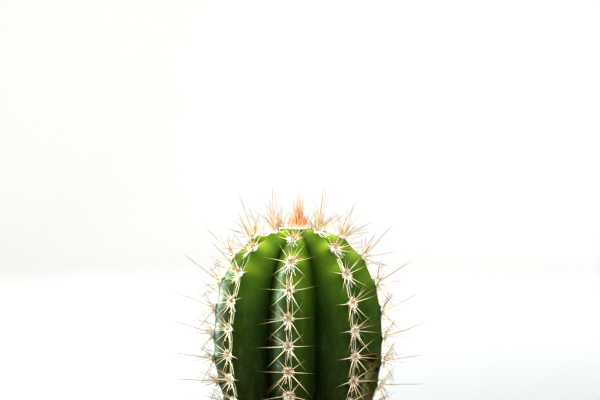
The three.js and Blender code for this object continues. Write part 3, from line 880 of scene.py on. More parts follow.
SCAR_BEARING = math.radians(-18)
SCAR_HALF_WIDTH = math.radians(14)
SCAR_LEVEL = 20.0  # above the mix
SCAR_HALF_HEIGHT = 13.0
CORK_TOP = 9.0  # above the mix
# Bearing, level above the mix, and radius
SCAR_PITS = [(math.radians(-16), 33.0, 1.5), (math.radians(-10), 28.5, 1.3)]

# Cork: the scar, the ring at the soil and the two pits, all with ragged edges
ragged = noise_at(stem_corners, 5.0, 31) * 0.9 + noise_at(stem_corners, 1.8, 32) * 0.45
turn_off = (np.broadcast_to(bearing, reach.shape).ravel() - SCAR_BEARING + np.pi) % (2 * np.pi) - np.pi
height_off = (level.ravel() - SCAR_LEVEL) / SCAR_HALF_HEIGHT
scar = np.clip((0.7 - np.hypot(turn_off / SCAR_HALF_WIDTH, height_off) + ragged) * 2.5, 0, 1)
cork = np.clip((1 - level.ravel() / CORK_TOP + ragged * 0.8) * 1.4, 0, 1)
corked = np.maximum(scar, cork)
pitted = np.zeros(len(stem_corners))
for pit_bearing, pit_level, pit_size in SCAR_PITS:
    pit_x = (turn_off + SCAR_BEARING - pit_bearing) * STEM_RADIUS
    away_from = np.hypot(pit_x, (level.ravel() - pit_level) * 1.3) / pit_size
    pitted = np.maximum(pitted, np.clip((1.3 - away_from + ragged) * 1.6, 0, 1))
corked = np.maximum(corked, pitted * 0.6)
young_fade = np.clip((np.broadcast_to(all_arc, reach.shape).ravel() - 1) / 6, 0, 1)
# Skin is a little uneven, and cork is rough
wander = noise_at(stem_corners, 13.0, 33) * 0.35 + noise_at(stem_corners, 3.5, 34) * 0.07
rough = noise_at(stem_corners, 1.3, 35) * 0.22 + noise_at(stem_corners, 0.7, 36) * 0.12 - 0.15
stem_normals = outward(stem_corners, stem_quads)
stem_shift = wander * young_fade * (1 - corked) + rough * corked
stem_corners = stem_corners + stem_normals * stem_shift[:, None]
stem_values = {
    "age": np.broadcast_to(np.clip(all_arc / CREST_LENGTH, 0, 1), reach.shape).ravel(),
    "groove": (np.broadcast_to(off, reach.shape) * np.clip(all_arc / 14, 0, 1)).ravel(),
    "glow": np.clip(glow, 0, 1).ravel(),
    "cork": corked,
    "pit": pitted,
}
# One corner closes the crown and one the root's tip, each with a fan of triangles
crown_middle = np.array([[0, 0, stem_high.z / MM]])
root_tip = np.array([[0, 0, stem_low.z / MM + 0.4]])
stem_corners = np.concatenate([stem_corners, crown_middle, root_tip])
for label, old_end in (("age", 1), ("groove", 0), ("glow", 0), ("cork", 1), ("pit", 0)):
    stem_values[label] = np.concatenate([stem_values[label], (0, old_end)])
first = np.arange(STEM_COLUMNS)
last = first + (len(all_arc) - 1) * STEM_COLUMNS
crown_fan = np.stack([first, np.full_like(first, len(stem_corners) - 2), np.roll(first, -1)], axis=1)
root_fan = np.stack([np.roll(last, -1), np.full_like(first, len(stem_corners) - 1), last], axis=1)
fan_map = np.stack([first / STEM_COLUMNS, first * 0.0], axis=1)
fan_next = np.stack([(first + 1) / STEM_COLUMNS, first * 0.0], axis=1)
stem_map = np.concatenate(
    [
        stem_unfolded[:, ::-1].reshape(-1, 2),
        np.stack([fan_map, (fan_map + fan_next) / 2, fan_next], axis=1).reshape(-1, 2),
        np.stack([fan_next, (fan_map + fan_next) / 2, fan_map], axis=1).reshape(-1, 2) + [0, 1],
    ]
)
stem_faces = stem_quads[:, ::-1].tolist() + crown_fan[:, ::-1].tolist() + root_fan[:, ::-1].tolist()

# Cactus skin, grown and coated with wax: satin gloss over a green that is lit a little from within.
skin, tree, place = begin_material("waxy_cactus_skin")
age = add(tree, "ShaderNodeAttribute", {"attribute_name": "age"})
groove = add(tree, "ShaderNodeAttribute", {"attribute_name": "groove"})
glow_at = add(tree, "ShaderNodeAttribute", {"attribute_name": "glow"})
cork_at = add(tree, "ShaderNodeAttribute", {"attribute_name": "cork"})
# The green is mottled in patches of about 8 mm
mottle = add(
    tree,
    "ShaderNodeTexNoise",
    {"Scale": 130.0, "Detail": 5.0, "Roughness": 0.55},
    {"Vector": (place, "Object")},
)
uneven = add(
    tree,
    "ShaderNodeMapRange",
    {"From Min": 0.25, "From Max": 0.75, "To Min": -0.07, "To Max": 0.07},
    {"Value": (mottle, "Fac")},
)
aged = add(tree, "ShaderNodeMath", {"operation": "ADD"}, {0: (age, "Fac"), 1: (uneven, 0)})
green = add(
    tree,
    "ShaderNodeValToRGB",
    {
        "stops": [
            (0.0, "#5F7620"),
            (0.14, "#4F6B16"),
            (0.3, "#3B530C"),
            (0.5, "#2A3D09"),
            (0.75, "#263306"),
            (1.0, "#2F3914"),
        ]
    },
    {"Fac": (aged, 0)},
)
# Painted shade: the flanks darken to near-black green down into each groove, where the narrow crease is
# shaded
shade_share = add(
    tree,
    "ShaderNodeMapRange",
    {"From Min": 0.45, "From Max": 1.0, "To Max": 0.75},
    {"Value": (groove, "Fac")},
)
groove_shaded = add(
    tree,
    "ShaderNodeMix",
    {"data_type": "RGBA", 7: linear("#0E2203")},
    {0: (shade_share, 0), 6: (green, 0)},
)
fresh = add(
    tree,
    "ShaderNodeMix",
    {"data_type": "RGBA", 7: linear("#95A830")},
    {0: (glow_at, "Fac"), 6: (groove_shaded, 2)},
)
# Breathing pores: pale dots about 1 mm apart, drawn 0.3 mm across so that they show
pore = add(tree, "ShaderNodeTexVoronoi", {"Scale": 900.0}, {"Vector": (place, "Object")})
pore_share = add(
    tree,
    "ShaderNodeMapRange",
    {"From Min": 0.1, "From Max": 0.22, "To Min": 0.11, "To Max": 0.0},
    {"Value": (pore, "Distance")},
)
# Wax wears off in upright streaks a few millimetres wide, so what is left looks bluish
upright = add(tree, "ShaderNodeMapping", {"Scale": (1.0, 1.0, 0.3)}, {"Vector": (place, "Object")})
wax = add(
    tree, "ShaderNodeTexNoise", {"Scale": 420.0, "Detail": 7.0, "Roughness": 0.7}, {"Vector": (upright, 0)}
)
wax_left = add(
    tree,
    "ShaderNodeMapRange",
    {"From Min": 0.5, "From Max": 0.75, "To Max": 0.3},
    {"Value": (wax, "Fac")},
)
wax_share = add(
    tree, "ShaderNodeMath", {"operation": "MULTIPLY"}, {0: (wax_left, 0), 1: (age, "Fac")}
)
bloomed = add(
    tree,
    "ShaderNodeMix",
    {"data_type": "RGBA", 7: linear("#5F7F5C")},
    {0: (wax_share, 0), 6: (fresh, 2)},
)
speckled = add(
    tree,
    "ShaderNodeMix",
    {"data_type": "RGBA", 7: linear("#86A870")},
    {0: (pore_share, 0), 6: (bloomed, 2)},
)
# Cork cracks into plates of about 2 mm
crust_cloud = add(
    tree,
    "ShaderNodeTexNoise",
    {"Scale": 520.0, "Detail": 6.0, "Roughness": 0.7},
    {"Vector": (place, "Object")},
)
corky = add(
    tree,
    "ShaderNodeValToRGB",
    {
        "stops": [
            (0.3, "#0E0906"),
            (0.38, "#2A1C10"),
            (0.46, "#47452A"),
            (0.6, "#626B48"),
            (0.75, "#7E8A86"),
        ]
    },
    {"Fac": (crust_cloud, "Fac")},
)
# A scar's edge is brown, and its middle is grey-green plates over dark cracks
rim_share = add(
    tree,
    "ShaderNodeValToRGB",
    {"stops": [(0.0, "#000000"), (0.3, "#909090"), (0.6, "#000000"), (1.0, "#000000")]},
    {"Fac": (cork_at, "Fac")},
)
edged = add(
    tree,
    "ShaderNodeMix",
    {"data_type": "RGBA", 7: linear("#8A5626")},
    {0: (rim_share, 0), 6: (speckled, 2)},
)
cork_share = add(
    tree,
    "ShaderNodeMapRange",
    {"From Min": 0.35, "From Max": 0.65},
    {"Value": (cork_at, "Fac")},
)
scarred = add(
    tree,
    "ShaderNodeMix",
    {"data_type": "RGBA"},
    {0: (cork_share, 0), 6: (edged, 2), 7: (corky, 0)},
)
pit_at = add(tree, "ShaderNodeAttribute", {"attribute_name": "pit"})
pit_dark = add(
    tree,
    "ShaderNodeMix",
    {"data_type": "RGBA", 7: linear("#1C0E08")},
    {0: (pit_at, "Fac"), 6: (scarred, 2)},
)
gloss = add(
    tree,
    "ShaderNodeMapRange",
    {"To Min": 0.36, "To Max": 0.85},
    {"Value": (cork_share, 0)},
)
relief_parts = add(
    tree,
    "ShaderNodeMix",
    {"data_type": "FLOAT"},
    {0: (cork_share, 0), 2: (pore, "Distance"), 3: (crust_cloud, "Fac")},
)
relief = add(
    tree, "ShaderNodeBump", {"Strength": 0.12, "Distance": 0.0003}, {"Height": (relief_parts, 0)}
)
shader = add(
    tree,
    "ShaderNodeBsdfPrincipled",
    {
        "IOR": 1.45,
        "Subsurface Weight": 0.08,
        "Subsurface Radius": (0.4, 1.0, 0.15),
        "Subsurface Scale": 0.0015,
        "Specular IOR Level": 0.22,
    },
    {"Base Color": (pit_dark, 2), "Roughness": (gloss, 0), "Normal": (relief, 0)},
)
add(tree, "ShaderNodeOutputMaterial", {}, {"Surface": (shader, 0)})

stem = make_mesh("ribbed_stem", stem_corners, stem_faces, skin, stem_map, stem_values)
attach(stem, "root")
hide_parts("stem")

# ---- Side roots ----------------------------------------------------------------------------------
# Five woody side roots spread from the taproot into the mix and thin out to threads.

SIDE_ROOTS = 5
SIDE_ROOT_LENGTH = 25.0  # from the taproot's middle
SIDE_ROOT_RADIUS = 1.55
SIDE_ROOT_TIP_RADIUS = 0.45
SIDE_ROOT_RINGS = 22
SIDE_ROOT_DIP = math.radians(32)
SIDE_ROOT_WANDER = 0.2

# Root bark, grown: thin, dull and tan, with fine rings.
root_bark, tree, place = begin_material("root_bark")
# Rings and flakes of about 1 mm
rings_noise = add(
    tree, "ShaderNodeTexNoise", {"Scale": 900.0, "Detail": 4.0}, {"Vector": (place, "Object")}
)
bark_brown = add(
    tree,
    "ShaderNodeValToRGB",
    {"stops": [(0.3, "#6B4C31"), (0.6, "#A3825B"), (0.85, "#C4A77D")]},
    {"Fac": (rings_noise, "Fac")},
)
relief = add(
    tree, "ShaderNodeBump", {"Strength": 0.5, "Distance": 0.0002}, {"Height": (rings_noise, "Fac")}
)
shader = add(
    tree,
    "ShaderNodeBsdfPrincipled",
    {"Roughness": 0.8},
    {"Base Color": (bark_brown, 0), "Normal": (relief, 0)},
)
add(tree, "ShaderNodeOutputMaterial", {}, {"Surface": (shader, 0)})


def scatter(seed):
    """A repeatable number from -1 to 1, its own for each seed."""
    mixed = math.sin(seed * 12.9898 + 4.1414) * 43758.5453
    return 2 * (mixed - math.floor(mixed)) - 1


root_paths = []
for i in range(SIDE_ROOTS):
    root_turn = (i + SIDE_ROOT_WANDER * scatter(i)) / SIDE_ROOTS * 2 * math.pi + PLANT_TURN
    dip = SIDE_ROOT_DIP * (1 + SIDE_ROOT_WANDER * scatter(i + SIDE_ROOTS))
    across = [math.cos(dip) * math.cos(root_turn), math.cos(dip) * math.sin(root_turn)]
    away = np.array([*across, -math.sin(dip)])
    lengths = np.linspace(0, SIDE_ROOT_LENGTH, SIDE_ROOT_RINGS)[:, None]
    root_paths.append(np.array([0, 0, ROOT_LINE - TAPROOT_SHOULDER]) + away * lengths)
root_paths = np.array(root_paths)
knots = noise_at(root_paths.reshape(-1, 3), 2.0, 41).reshape(SIDE_ROOTS, -1) * 0.12
root_taper = np.linspace(SIDE_ROOT_RADIUS, SIDE_ROOT_TIP_RADIUS, SIDE_ROOT_RINGS)
root_radii = root_taper[None] * (1 + knots)
root_corners, root_faces, root_map, _, _ = strands(root_paths, root_radii, 10)
side_roots = make_mesh("side_roots", root_corners, root_faces, root_bark, root_map)
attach(side_roots, "root")
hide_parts("stem")

# ---- Wool ----------------------------------------------------------------------------------------
# Every areole is a cushion of short felt that the plant grows on a rib's crest, peach in its middle
# and ringed with curled white hairs. Strands of old cream felt run down the crest to the next one,
# and the youngest cushions are wider and shed more loose hairs.

PAD_WIDTH = 3.0
PAD_HALF_HEIGHT = 1.1
PAD_THICKNESS = 0.75
HAIRS_PER_PAD = 140
HAIR_RINGS = 6
HAIR_RADIUS = 0.06
PAD_HAIR_LENGTHS = (0.5, 0.95)
YOUNG_STEPS = 5
CORDS = 3
CORD_CHANCE = 0.88
CORD_RADIUS = 0.11
CORD_START = 0.8
CORD_LENGTH = 8.6
CORDS_APART = 0.7
LOOSE_HAIRS = 4
LOOSE_HAIR_LENGTHS = (1.8, 3.6)

# Areole felt, grown: soft white hairs that scatter light, with peach or cream where it is matted.
felt, tree, place = begin_material("white_areole_felt")
tone = add(tree, "ShaderNodeAttribute", {"attribute_name": "tone"})
# Tufts of hair of less than a millimetre
fluff = add(
    tree, "ShaderNodeTexNoise", {"Scale": 1500.0, "Detail": 3.0}, {"Vector": (place, "Object")}
)
white = add(
    tree,
    "ShaderNodeValToRGB",
    {"stops": [(0.3, "#E6DDD2"), (0.5, "#F7F2EC"), (0.75, "#FFFFFD")]},
    {"Fac": (fluff, "Fac")},
)
# A tone of 0 is white hair, 0.5 a strand of old cream felt and 1 the peach-coloured middle of a pad
felt_tint = add(
    tree,
    "ShaderNodeValToRGB",
    {"stops": [(0.0, "#FFFFFF"), (0.25, "#F4F0E0"), (0.5, "#CDCB9C"), (1.0, "#C79382")]},
    {"Fac": (tone, "Fac")},
)
tanned = add(
    tree,
    "ShaderNodeMix",
    {"data_type": "RGBA", "blend_type": "MULTIPLY", 0: 1.0},
    {6: (white, 0), 7: (felt_tint, 0)},
)
relief = add(
    tree, "ShaderNodeBump", {"Strength": 0.5, "Distance": 0.0002}, {"Height": (fluff, "Fac")}
)
shader = add(
    tree,
    "ShaderNodeBsdfPrincipled",
    {
        "Roughness": 0.9,
        "Specular IOR Level": 0.2,
        "Sheen Weight": 0.3,
        "Sheen Roughness": 0.5,
        "Subsurface Weight": 0.25,
        "Subsurface Radius": (1.0, 0.9, 0.8),
        "Subsurface Scale": 0.0005,
    },
    {"Base Color": (tanned, 2), "Normal": (relief, 0)},
)
add(tree, "ShaderNodeOutputMaterial", {}, {"Surface": (shader, 0)})


def to_world(points, rib):
    """Points from a rib's own frame, with its crest over +X and the mix at 0, to the plant's."""
    turn = PLANT_TURN + rib * SECTOR
    x, y, z = np.moveaxis(points, -1, 0)
    return np.stack(
        [x * math.cos(turn) - y * math.sin(turn), x * math.sin(turn) + y * math.cos(turn), z + ROOT_LINE],
        axis=-1,
    )


def areole_frame(half_step):
    """An areole's middle on the skin, its outward normal, the way up the rib, and its right."""
    radius, height, out, rise = crest_at(areole_arc(half_step))
    normal = np.array([out, 0, rise])
    up = np.array([-rise, 0, out])
    point = np.array([radius, 0, height]) + normal * BUMP_HEIGHT
    return point, normal, up, np.cross(up, normal)


def curled(draw, start, away, length, curl, rings):
    """Paths of hairs from start along away, each wound in a loose curl that widens to the tip."""
    count = len(start)
    t = np.linspace(0, 1, rings)[None, :, None]
    helper = draw.normal(size=(count, 3))
    one = unit(np.cross(away, helper))
    two = np.cross(away, one)
    phase = draw.uniform(0, 2 * np.pi, (count, 1, 1))
    wound = phase + t * draw.uniform(2.0, 6.0, (count, 1, 1))
    size = curl[:, None, None] * t
    bow = one[:, None, :] * (np.cos(wound) - np.cos(phase))
    bow = bow + two[:, None, :] * (np.sin(wound) - np.sin(phase))
    return start[:, None, :] + away[:, None, :] * length[:, None, None] * t + bow * size


def join_meshes(parts):
    """Corners, faces and values of several meshes as one."""
    corners = []
    faces = []
    tones = []
    shift = 0
    for part_corners, part_faces, part_tones in parts:
        corners.append(part_corners)
        faces.extend([[i + shift for i in face] for face in part_faces])
        tones.append(part_tones)
        shift += len(part_corners)
    return np.concatenate(corners), faces, np.concatenate(tones)


ball_corners, ball_faces = ball(3)
for rib in range(RIBS):
    draw = np.random.default_rng(100 + rib)
    parts = []
    for half_step in range(HALF_STEPS):
        if not has_areole(rib, half_step):
            continue
        point, normal, up, side = areole_frame(half_step)
        youth = max(0.0, 1 - half_step / YOUNG_STEPS)

        # The cushion, peach in its middle
        width = PAD_WIDTH / 2 * (0.72 + 0.4 * youth * (half_step > 1))
        axes = np.stack([side * width, up * PAD_HALF_HEIGHT, normal * PAD_THICKNESS])
        lumpy = 1 + 0.1 * noise_at(ball_corners * 3, 1.1, 50 + half_step + rib * 20)
        pad = (ball_corners * lumpy[:, None]) @ axes + point - normal * 0.15
        centre = np.exp(-((ball_corners[:, 0] ** 2 + ball_corners[:, 1] ** 2) / 0.4))
        parts.append((to_world(pad, rib), ball_faces.tolist(), centre * (1.0 - 0.4 * youth)))

        # Curled white hairs, which lean out more towards its edge
        count = int(HAIRS_PER_PAD * (1 + 0.2 * youth if half_step > 1 else 0.6))
        round_pad = draw.uniform(0, 2 * np.pi, count)
        out_pad = np.sqrt(draw.uniform(0.1, 1.0, count))
        spot = np.stack([np.cos(round_pad) * out_pad, np.sin(round_pad) * out_pad, round_pad * 0], axis=1)
        start = point + spot @ axes + normal * 0.45
        lean = spot @ np.stack([side, up, normal]) * draw.uniform(1.0, 3.2, (count, 1))
        away = unit(normal + lean + draw.normal(size=(count, 3)) * 0.35)
        length = draw.uniform(*PAD_HAIR_LENGTHS, count) * (0.55 + 1.1 * out_pad**2) * (1 + 0.3 * youth)
        curl = draw.uniform(0.15, 0.55, count)
        paths = curled(draw, start, away, length, curl, HAIR_RINGS)
        corners, faces, _, _, per = strands(to_world(paths, rib), HAIR_RADIUS, 3)
        tones = np.repeat(np.clip(1.0 - 1.25 * out_pad, 0, 1) + draw.uniform(0, 0.1, count), per)
        parts.append((corners, faces, tones))

        # Strands of old felt, down the crest to the next cushion
        has_next = 2 <= half_step < HALF_STEPS - 2
        cords = CORDS if has_next and draw.random() < CORD_CHANCE else 0
        strands_per_cord = 1 + int(2 * youth)
        for cord in range(cords * strands_per_cord):
            share = np.linspace(0, 1, 14)[:, None]
            cord_arc = areole_arc(half_step) + CORD_START + share[:, 0] * CORD_LENGTH
            radius, height, out, rise = crest_at(cord_arc)
            along_crest = np.stack([radius, radius * 0, height], axis=1)
            off_skin = np.stack([out, out * 0, rise], axis=1)
            aside = CORDS_APART * (cord % CORDS - 1) + draw.normal() * 0.2 + 0.3 * youth * draw.normal()
            waver = (0.15 + 0.3 * youth) * np.sin(share * draw.uniform(3, 9) + draw.uniform(0, 6))
            lift = 0.12 + 0.5 * np.exp(-((share / 0.15) ** 2)) + 0.3 * np.clip(share - 0.85, 0, 1) / 0.15
            path = along_crest + side * (aside + waver) + off_skin * lift
            thickness = CORD_RADIUS * (1 if cord < CORDS else 0.45)
            thickness = thickness * np.interp(share[:, 0], [0, 0.15, 0.8, 1], [0.7, 1, 0.9, 0.4])
            corners, faces, _, _, per = strands(to_world(path[None], rib), thickness[None], 5)
            parts.append((corners, faces, np.full(per, draw.uniform(0.35, 0.6) * (1 - 0.5 * youth))))

        # Loose hairs, shed downwards
        loose = int(LOOSE_HAIRS + 5 * youth)
        spot = draw.uniform(-1, 1, (loose, 2)) * [width * 0.9, 0.6]
        start = point + spot[:, :1] * side + (spot[:, 1:] - 0.8) * up + normal * 0.55
        away = -up * draw.uniform(0.7, 1.2, (loose, 1)) + side * draw.normal(size=(loose, 1)) * 0.35
        away = unit(away + normal * draw.uniform(-0.1, 0.15, (loose, 1)))
        length = draw.uniform(*LOOSE_HAIR_LENGTHS, loose) * (1 + 0.45 * youth)
        curl = draw.uniform(0.25, 0.7, loose)
        paths = curled(draw, start, away, length, curl, 9)
        corners, faces, _, _, per = strands(to_world(paths, rib), HAIR_RADIUS * 1.4, 4)
        parts.append((corners, faces, np.repeat(draw.uniform(0, 0.2, loose), per)))
    corners, faces, tones = join_meshes(parts)
    wool = make_mesh(f"wool_row_{rib + 1}", corners, faces, felt, None, {"tone": tones})
    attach(wool, "root")
    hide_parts(f"spine_row_{rib + 1}")

# ---- Spines --------------------------------------------------------------------------------------
# Hard needles that are changed leaves, grown out of each areole in a star: nine spread ones, a
# few long thin ones among them, and a fan of short orange bristles over its upper edge. The
# youngest areoles have the most bristles.

PAD_CORE = 0.7
SPINE_GAP = 0.5
LENGTH_SPREAD = 0.12
TURN_SPREAD = math.radians(7)
LEAN_SPREAD = math.radians(4)
YOUNG_ARC = 30.0
YOUNG_LEAN = 0.45
TUFT_RADIUS = 5.2
MIX_BELOW_RIM = POT_HEIGHT - MIX_TOP
SPINE_RADIUS = 0.155
LOOSENESS = math.radians(8)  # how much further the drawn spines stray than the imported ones
BRISTLES = 6
YOUNG_BRISTLES = 7
BRISTLE_TURN = 85  # degrees to each side of straight up the rib
BRISTLE_LEANS = (28, 70)  # degrees from the areole's normal
BRISTLE_LENGTHS = (2.4, 4.6)
THIN_SPINES = 3
YOUNG_THIN_SPINES = 5
THIN_SPINE_LENGTHS = (7.5, 13.0)
# Turn from straight up the rib, lean from the areole's normal, and length
SPINE_FAN = [
    [(-40, 68, 8.2), (-8, 58, 6.2), (44, 68, 8.6)],
    [(-92, 76, 10.4), (14, 17, 14.2), (86, 76, 10.0)],
    [(-138, 72, 10.2), (174, 64, 7.4), (142, 72, 10.6)],
]

# Cactus spine, grown and dried to horn: satin, straw at the base and red-brown at the tip.
horn, tree, place = begin_material("dried_spine_horn")
along_at = add(tree, "ShaderNodeAttribute", {"attribute_name": "along"})
tone = add(tree, "ShaderNodeAttribute", {"attribute_name": "tone"})
straw = add(
    tree,
    "ShaderNodeValToRGB",
    {
        "stops": [
            (0.0, "#B98A78"),
            (0.1, "#EFE7C6"),
            (0.45, "#DED2A4"),
            (0.75, "#98794F"),
            (1.0, "#4A2D20"),
        ]
    },
    {"Fac": (along_at, "Fac")},
)
russet = add(
    tree,
    "ShaderNodeValToRGB",
    {
        "stops": [
            (0.0, "#BF8C70"),
            (0.15, "#BA986C"),
            (0.45, "#8A6444"),
            (0.75, "#5C3F30"),
            (1.0, "#35211C"),
        ]
    },
    {"Fac": (along_at, "Fac")},
)
toned = add(
    tree,
    "ShaderNodeMix",
    {"data_type": "RGBA"},
    {0: (tone, "Fac"), 6: (straw, 0), 7: (russet, 0)},
)
youth_at = add(tree, "ShaderNodeAttribute", {"attribute_name": "youth"})
tender = add(
    tree,
    "ShaderNodeMix",
    {"data_type": "RGBA", 7: linear("#B47432")},
    {0: (youth_at, "Fac"), 6: (toned, 2)},
)
shader = add(
    tree,
    "ShaderNodeBsdfPrincipled",
    {"Roughness": 0.42, "IOR": 1.54},
    {"Base Color": (tender, 2)},
)
add(tree, "ShaderNodeOutputMaterial", {}, {"Surface": (shader, 0)})


def room_for(start, direction):
    """The most a spine may measure inside its own rib's sector, off the tuft and over the rim."""
    slope = math.tan(SECTOR / 2)
    sideways = abs(direction[1]) - slope * direction[0]
    room = slope * start[0] - math.copysign(1, direction[1]) * start[1] - SPINE_GAP
    to_neighbour = room / sideways if sideways > 0 else math.inf
    to_tuft = (start[0] - TUFT_RADIUS - SPINE_GAP) / -direction[0] if direction[0] < 0 else math.inf
    to_rim = (start[2] - MIX_BELOW_RIM - SPINE_GAP) / -direction[2] if direction[2] < 0 else math.inf
    return min(to_neighbour, to_tuft, to_rim)


def direction_of(half_step, turn, lean):
    _, normal, up, side = areole_frame(half_step)
    away = normal * math.cos(lean) + up * math.cos(turn) * math.sin(lean)
    return away + side * math.sin(turn) * math.sin(lean)


def fan_of(rib, half_step):
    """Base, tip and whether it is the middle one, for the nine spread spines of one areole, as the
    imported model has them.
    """
    point, normal, up, side = areole_frame(half_step)
    edges = [-PAD_CORE, -PAD_CORE / 3, PAD_CORE / 3, PAD_CORE]
    young = min(max(areole_arc(half_step) / YOUNG_ARC, 0), 1)
    lean_share = YOUNG_LEAN + (1 - YOUNG_LEAN) * young * young * (3 - 2 * young)
    found = []
    for rank, habits in enumerate(SPINE_FAN):
        for file, (turn, lean, length) in enumerate(habits):
            rise = -(edges[rank] + edges[rank + 1]) / 2 * PAD_WIDTH / 2
            aside = (edges[file] + edges[file + 1]) / 2 * PAD_WIDTH / 2
            start = point + up * rise + side * aside + normal * 1.4
            seed = 1000 * rib + 30 * half_step + 9 * rank + 3 * file
            turned_by = math.radians(turn) + TURN_SPREAD * scatter(seed)
            leant = math.radians(lean) * lean_share + LEAN_SPREAD * scatter(seed + 1)
            if rank != 1 or file != 1:
                turned_by += LOOSENESS * scatter(seed + 500)
                leant += LOOSENESS / 2 * scatter(seed + 501)
            away = direction_of(half_step, turned_by, leant)
            wanted = length * (1 + LENGTH_SPREAD * scatter(seed + 2))
            tip = start + away * min(wanted, room_for(start, away))
            base = point + up * rise * 0.6 + side * aside * 0.6 + normal * 0.35
            found.append((base, tip, rank == 1 and file == 1))
    return found


spine_taper = np.array([1.25, 1.08, 0.98, 0.87, 0.75, 0.62, 0.48, 0.32, 0.1])


def bowed(draw, bases, tips, bow):
    """Paths from bases to tips that bow a little to one side, as a share of their length."""
    t = np.linspace(0, 1, len(spine_taper))[None, :, None]
    run = tips - bases
    aside = unit(np.cross(run, draw.normal(size=run.shape)))
    sag = draw.uniform(-bow, bow, (len(bases), 1)) * np.linalg.norm(run, axis=1, keepdims=True)
    return bases[:, None] + run[:, None] * t + (aside * sag)[:, None] * 4 * t * (1 - t)


for rib in range(RIBS):
    draw = np.random.default_rng(200 + rib)
    bases = []
    tips = []
    tones = []
    widths = []
    youths = []
    for half_step in range(HALF_STEPS):
        if not has_areole(rib, half_step):
            continue
        point, normal, up, side = areole_frame(half_step)
        youth = max(0.0, 1 - half_step / YOUNG_STEPS)

        # Nine spread spines, the middle one stouter and browner
        for base, tip, is_central in fan_of(rib, half_step):
            bases.append(base)
            tips.append(tip)
            tones.append(draw.uniform(0.35, 0.9) if is_central else draw.uniform(0.0, 0.45))
            widths.append(SPINE_RADIUS * (1.1 if is_central else draw.uniform(0.8, 1.05)))
            youths.append(0.15 * youth)

        # Short orange bristles over the upper edge
        for _ in range(BRISTLES + int(YOUNG_BRISTLES * youth)):
            turn = math.radians(draw.uniform(-BRISTLE_TURN, BRISTLE_TURN))
            lean = math.radians(draw.uniform(*BRISTLE_LEANS) * (1 - 0.45 * youth))
            base = point + up * 0.6 + side * draw.uniform(-0.8, 0.8) * (1 + youth) + normal * 0.3
            away = direction_of(half_step, turn, lean)
            bases.append(base)
            tips.append(base + away * draw.uniform(*BRISTLE_LENGTHS))
            tones.append(draw.uniform(0.6, 1.0))
            widths.append(SPINE_RADIUS * 0.75)
            youths.append(draw.uniform(0.3, 1.0) * (0.65 + 0.35 * youth))

        # Long thin spines, to all sides
        for _ in range(THIN_SPINES + int(YOUNG_THIN_SPINES * youth)):
            turn = math.radians(draw.uniform(-180, 180))
            lean = math.radians(draw.uniform(12, 66 - 14 * youth))
            base = point + up * draw.uniform(-0.5, 0.5) + side * draw.uniform(-0.5, 0.5) + normal * 0.3
            away = direction_of(half_step, turn, lean)
            wanted = draw.uniform(*THIN_SPINE_LENGTHS)
            bases.append(base)
            tips.append(base + away * min(wanted, room_for(base, away)))
            tones.append(draw.uniform(0.2, 0.8))
            widths.append(SPINE_RADIUS * 0.66)
            youths.append(draw.uniform(0.0, 0.5) * youth)
    bases = np.array(bases)
    tips = np.array(tips)
    paths = to_world(bowed(draw, bases, tips, 0.03), rib)
    radii = np.array(widths)[:, None] * spine_taper[None]
    corners, faces, flat, along_values, per = strands(paths, radii, 6)
    values = {"along": along_values, "tone": np.repeat(tones, per), "youth": np.repeat(youths, per)}
    spines = make_mesh(f"spines_row_{rib + 1}", corners, faces, horn, flat, values)
    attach(spines, "root")
    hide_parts(f"spine_row_{rib + 1}")

# ---- Crown ---------------------------------------------------------------------------------------
# The growing point is hidden in white wool, and the youngest spines stand up from it in a dense
# flame-shaped tuft. They are still soft and orange, and some of them fade to straw.

TUFT_HEIGHT = 13.5
TUFT_SPINES = 170
TUFT_SPINE_RADII = (0.1, 0.17)
TUFT_FOOT = 3.6
CUSHION_THICKNESS = 0.8
CROWN_HAIRS = 180
CROWN_HAIR_LENGTHS = (0.7, 1.7)

# Young spine, freshly grown: golden orange and a little see-through, paler towards its base.
young_horn, tree, place = begin_material("fresh_orange_spine")
along_at = add(tree, "ShaderNodeAttribute", {"attribute_name": "along"})
tone = add(tree, "ShaderNodeAttribute", {"attribute_name": "tone"})
orange = add(
    tree,
    "ShaderNodeValToRGB",
    {
        "stops": [
            (0.0, "#EED4BE"),
            (0.2, "#D69E68"),
            (0.5, "#C67A32"),
            (0.85, "#A05C26"),
            (1.0, "#744632"),
        ]
    },
    {"Fac": (along_at, "Fac")},
)
faded = add(
    tree,
    "ShaderNodeMix",
    {"data_type": "RGBA", 7: linear("#EBC8A6")},
    {0: (tone, "Fac"), 6: (orange, 0)},
)
shader = add(
    tree,
    "ShaderNodeBsdfPrincipled",
    {
        "Roughness": 0.45,
        "IOR": 1.54,
        "Subsurface Weight": 0.2,
        "Subsurface Radius": (1.0, 0.7, 0.4),
        "Subsurface Scale": 0.0004,
    },
    {"Base Color": (faded, 2)},
)
add(tree, "ShaderNodeOutputMaterial", {}, {"Surface": (shader, 0)})

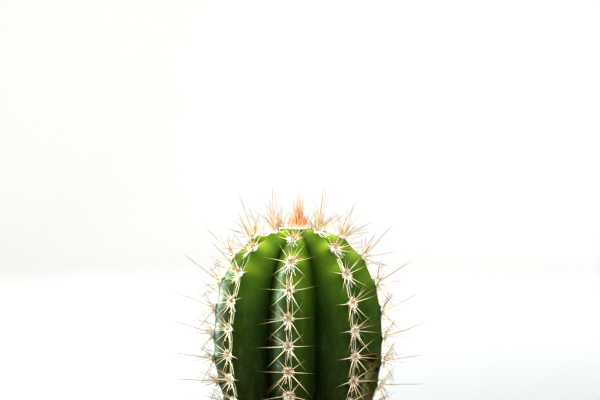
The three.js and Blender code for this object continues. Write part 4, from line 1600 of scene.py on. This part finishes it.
# The tuft's spines stand on a spiral, longest in the middle, and lean out a little
draw = np.random.default_rng(301)
crown_level = stem_high.z / MM
outness = np.sqrt((np.arange(TUFT_SPINES) + 0.5) / TUFT_SPINES)
turn = np.arange(TUFT_SPINES) * math.pi * (3 - math.sqrt(5))
round_about = np.column_stack([np.cos(turn), np.sin(turn), turn * 0])
foot = round_about * (TUFT_FOOT * outness)[:, None] + [0, 0, crown_level + 0.3]
tuft_length = TUFT_HEIGHT * (1.15 - 0.95 * outness**0.8) * draw.uniform(0.72, 1.1, TUFT_SPINES)
tuft_length = np.minimum(tuft_length, TUFT_HEIGHT - 0.3)
flare = draw.uniform(0.1, 1.3, TUFT_SPINES)[:, None] * np.array([1, 1, 0])
head = foot * [0, 0, 1] + round_about * (TUFT_FOOT * outness)[:, None] * flare
head = head + draw.normal(size=(TUFT_SPINES, 3)) * [0.45, 0.45, 0]
head[:, 2] += tuft_length
tuft_paths = bowed(draw, foot, head, 0.05)
tuft_radii = draw.uniform(*TUFT_SPINE_RADII, TUFT_SPINES)[:, None] * spine_taper[None]
corners, faces, flat, along_values, per = strands(tuft_paths, tuft_radii, 5)
values = {"along": along_values, "tone": np.repeat(draw.uniform(0, 1, TUFT_SPINES) ** 2.4, per)}
tuft = make_mesh("crown_spines", corners, faces, young_horn, flat, values)
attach(tuft, "root")
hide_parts("crown_tuft")

# A cushion of wool round their feet, with curled hairs over it
draw = np.random.default_rng(302)
cushion_lumps = 1 + 0.12 * noise_at(ball_corners * 3, 0.8, 61)
cushion = ball_corners * [TUFT_FOOT, TUFT_FOOT, CUSHION_THICKNESS] * cushion_lumps[:, None]
cushion = cushion + [0, 0, crown_level + 0.2]
parts = [(cushion, ball_faces.tolist(), np.zeros(len(cushion)))]
hair_turn = draw.uniform(0, 2 * np.pi, CROWN_HAIRS)
hair_out = np.sqrt(draw.uniform(0, 1, CROWN_HAIRS))
round_about = np.column_stack([np.cos(hair_turn), np.sin(hair_turn), hair_turn * 0])
start = round_about * (3.7 * hair_out)[:, None]
start[:, 2] = crown_level + 0.2 + 0.7 * (1 - hair_out**2)
away = round_about * (0.3 + hair_out[:, None]) + [0, 0, 0.55]
away = unit(away + draw.normal(size=(CROWN_HAIRS, 3)) * 0.35)
length = draw.uniform(*CROWN_HAIR_LENGTHS, CROWN_HAIRS)
curl = draw.uniform(0.2, 0.6, CROWN_HAIRS)
paths = curled(draw, start, away, length, curl, 7)
corners, faces, _, _, per = strands(paths, HAIR_RADIUS, 3)
parts.append((corners, faces, np.repeat(draw.uniform(0, 0.15, CROWN_HAIRS), per)))
corners, faces, tones = join_meshes(parts)
crown_wool = make_mesh("crown_wool", corners, faces, felt, None, {"tone": tones})
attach(crown_wool, "root")
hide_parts("crown_tuft")
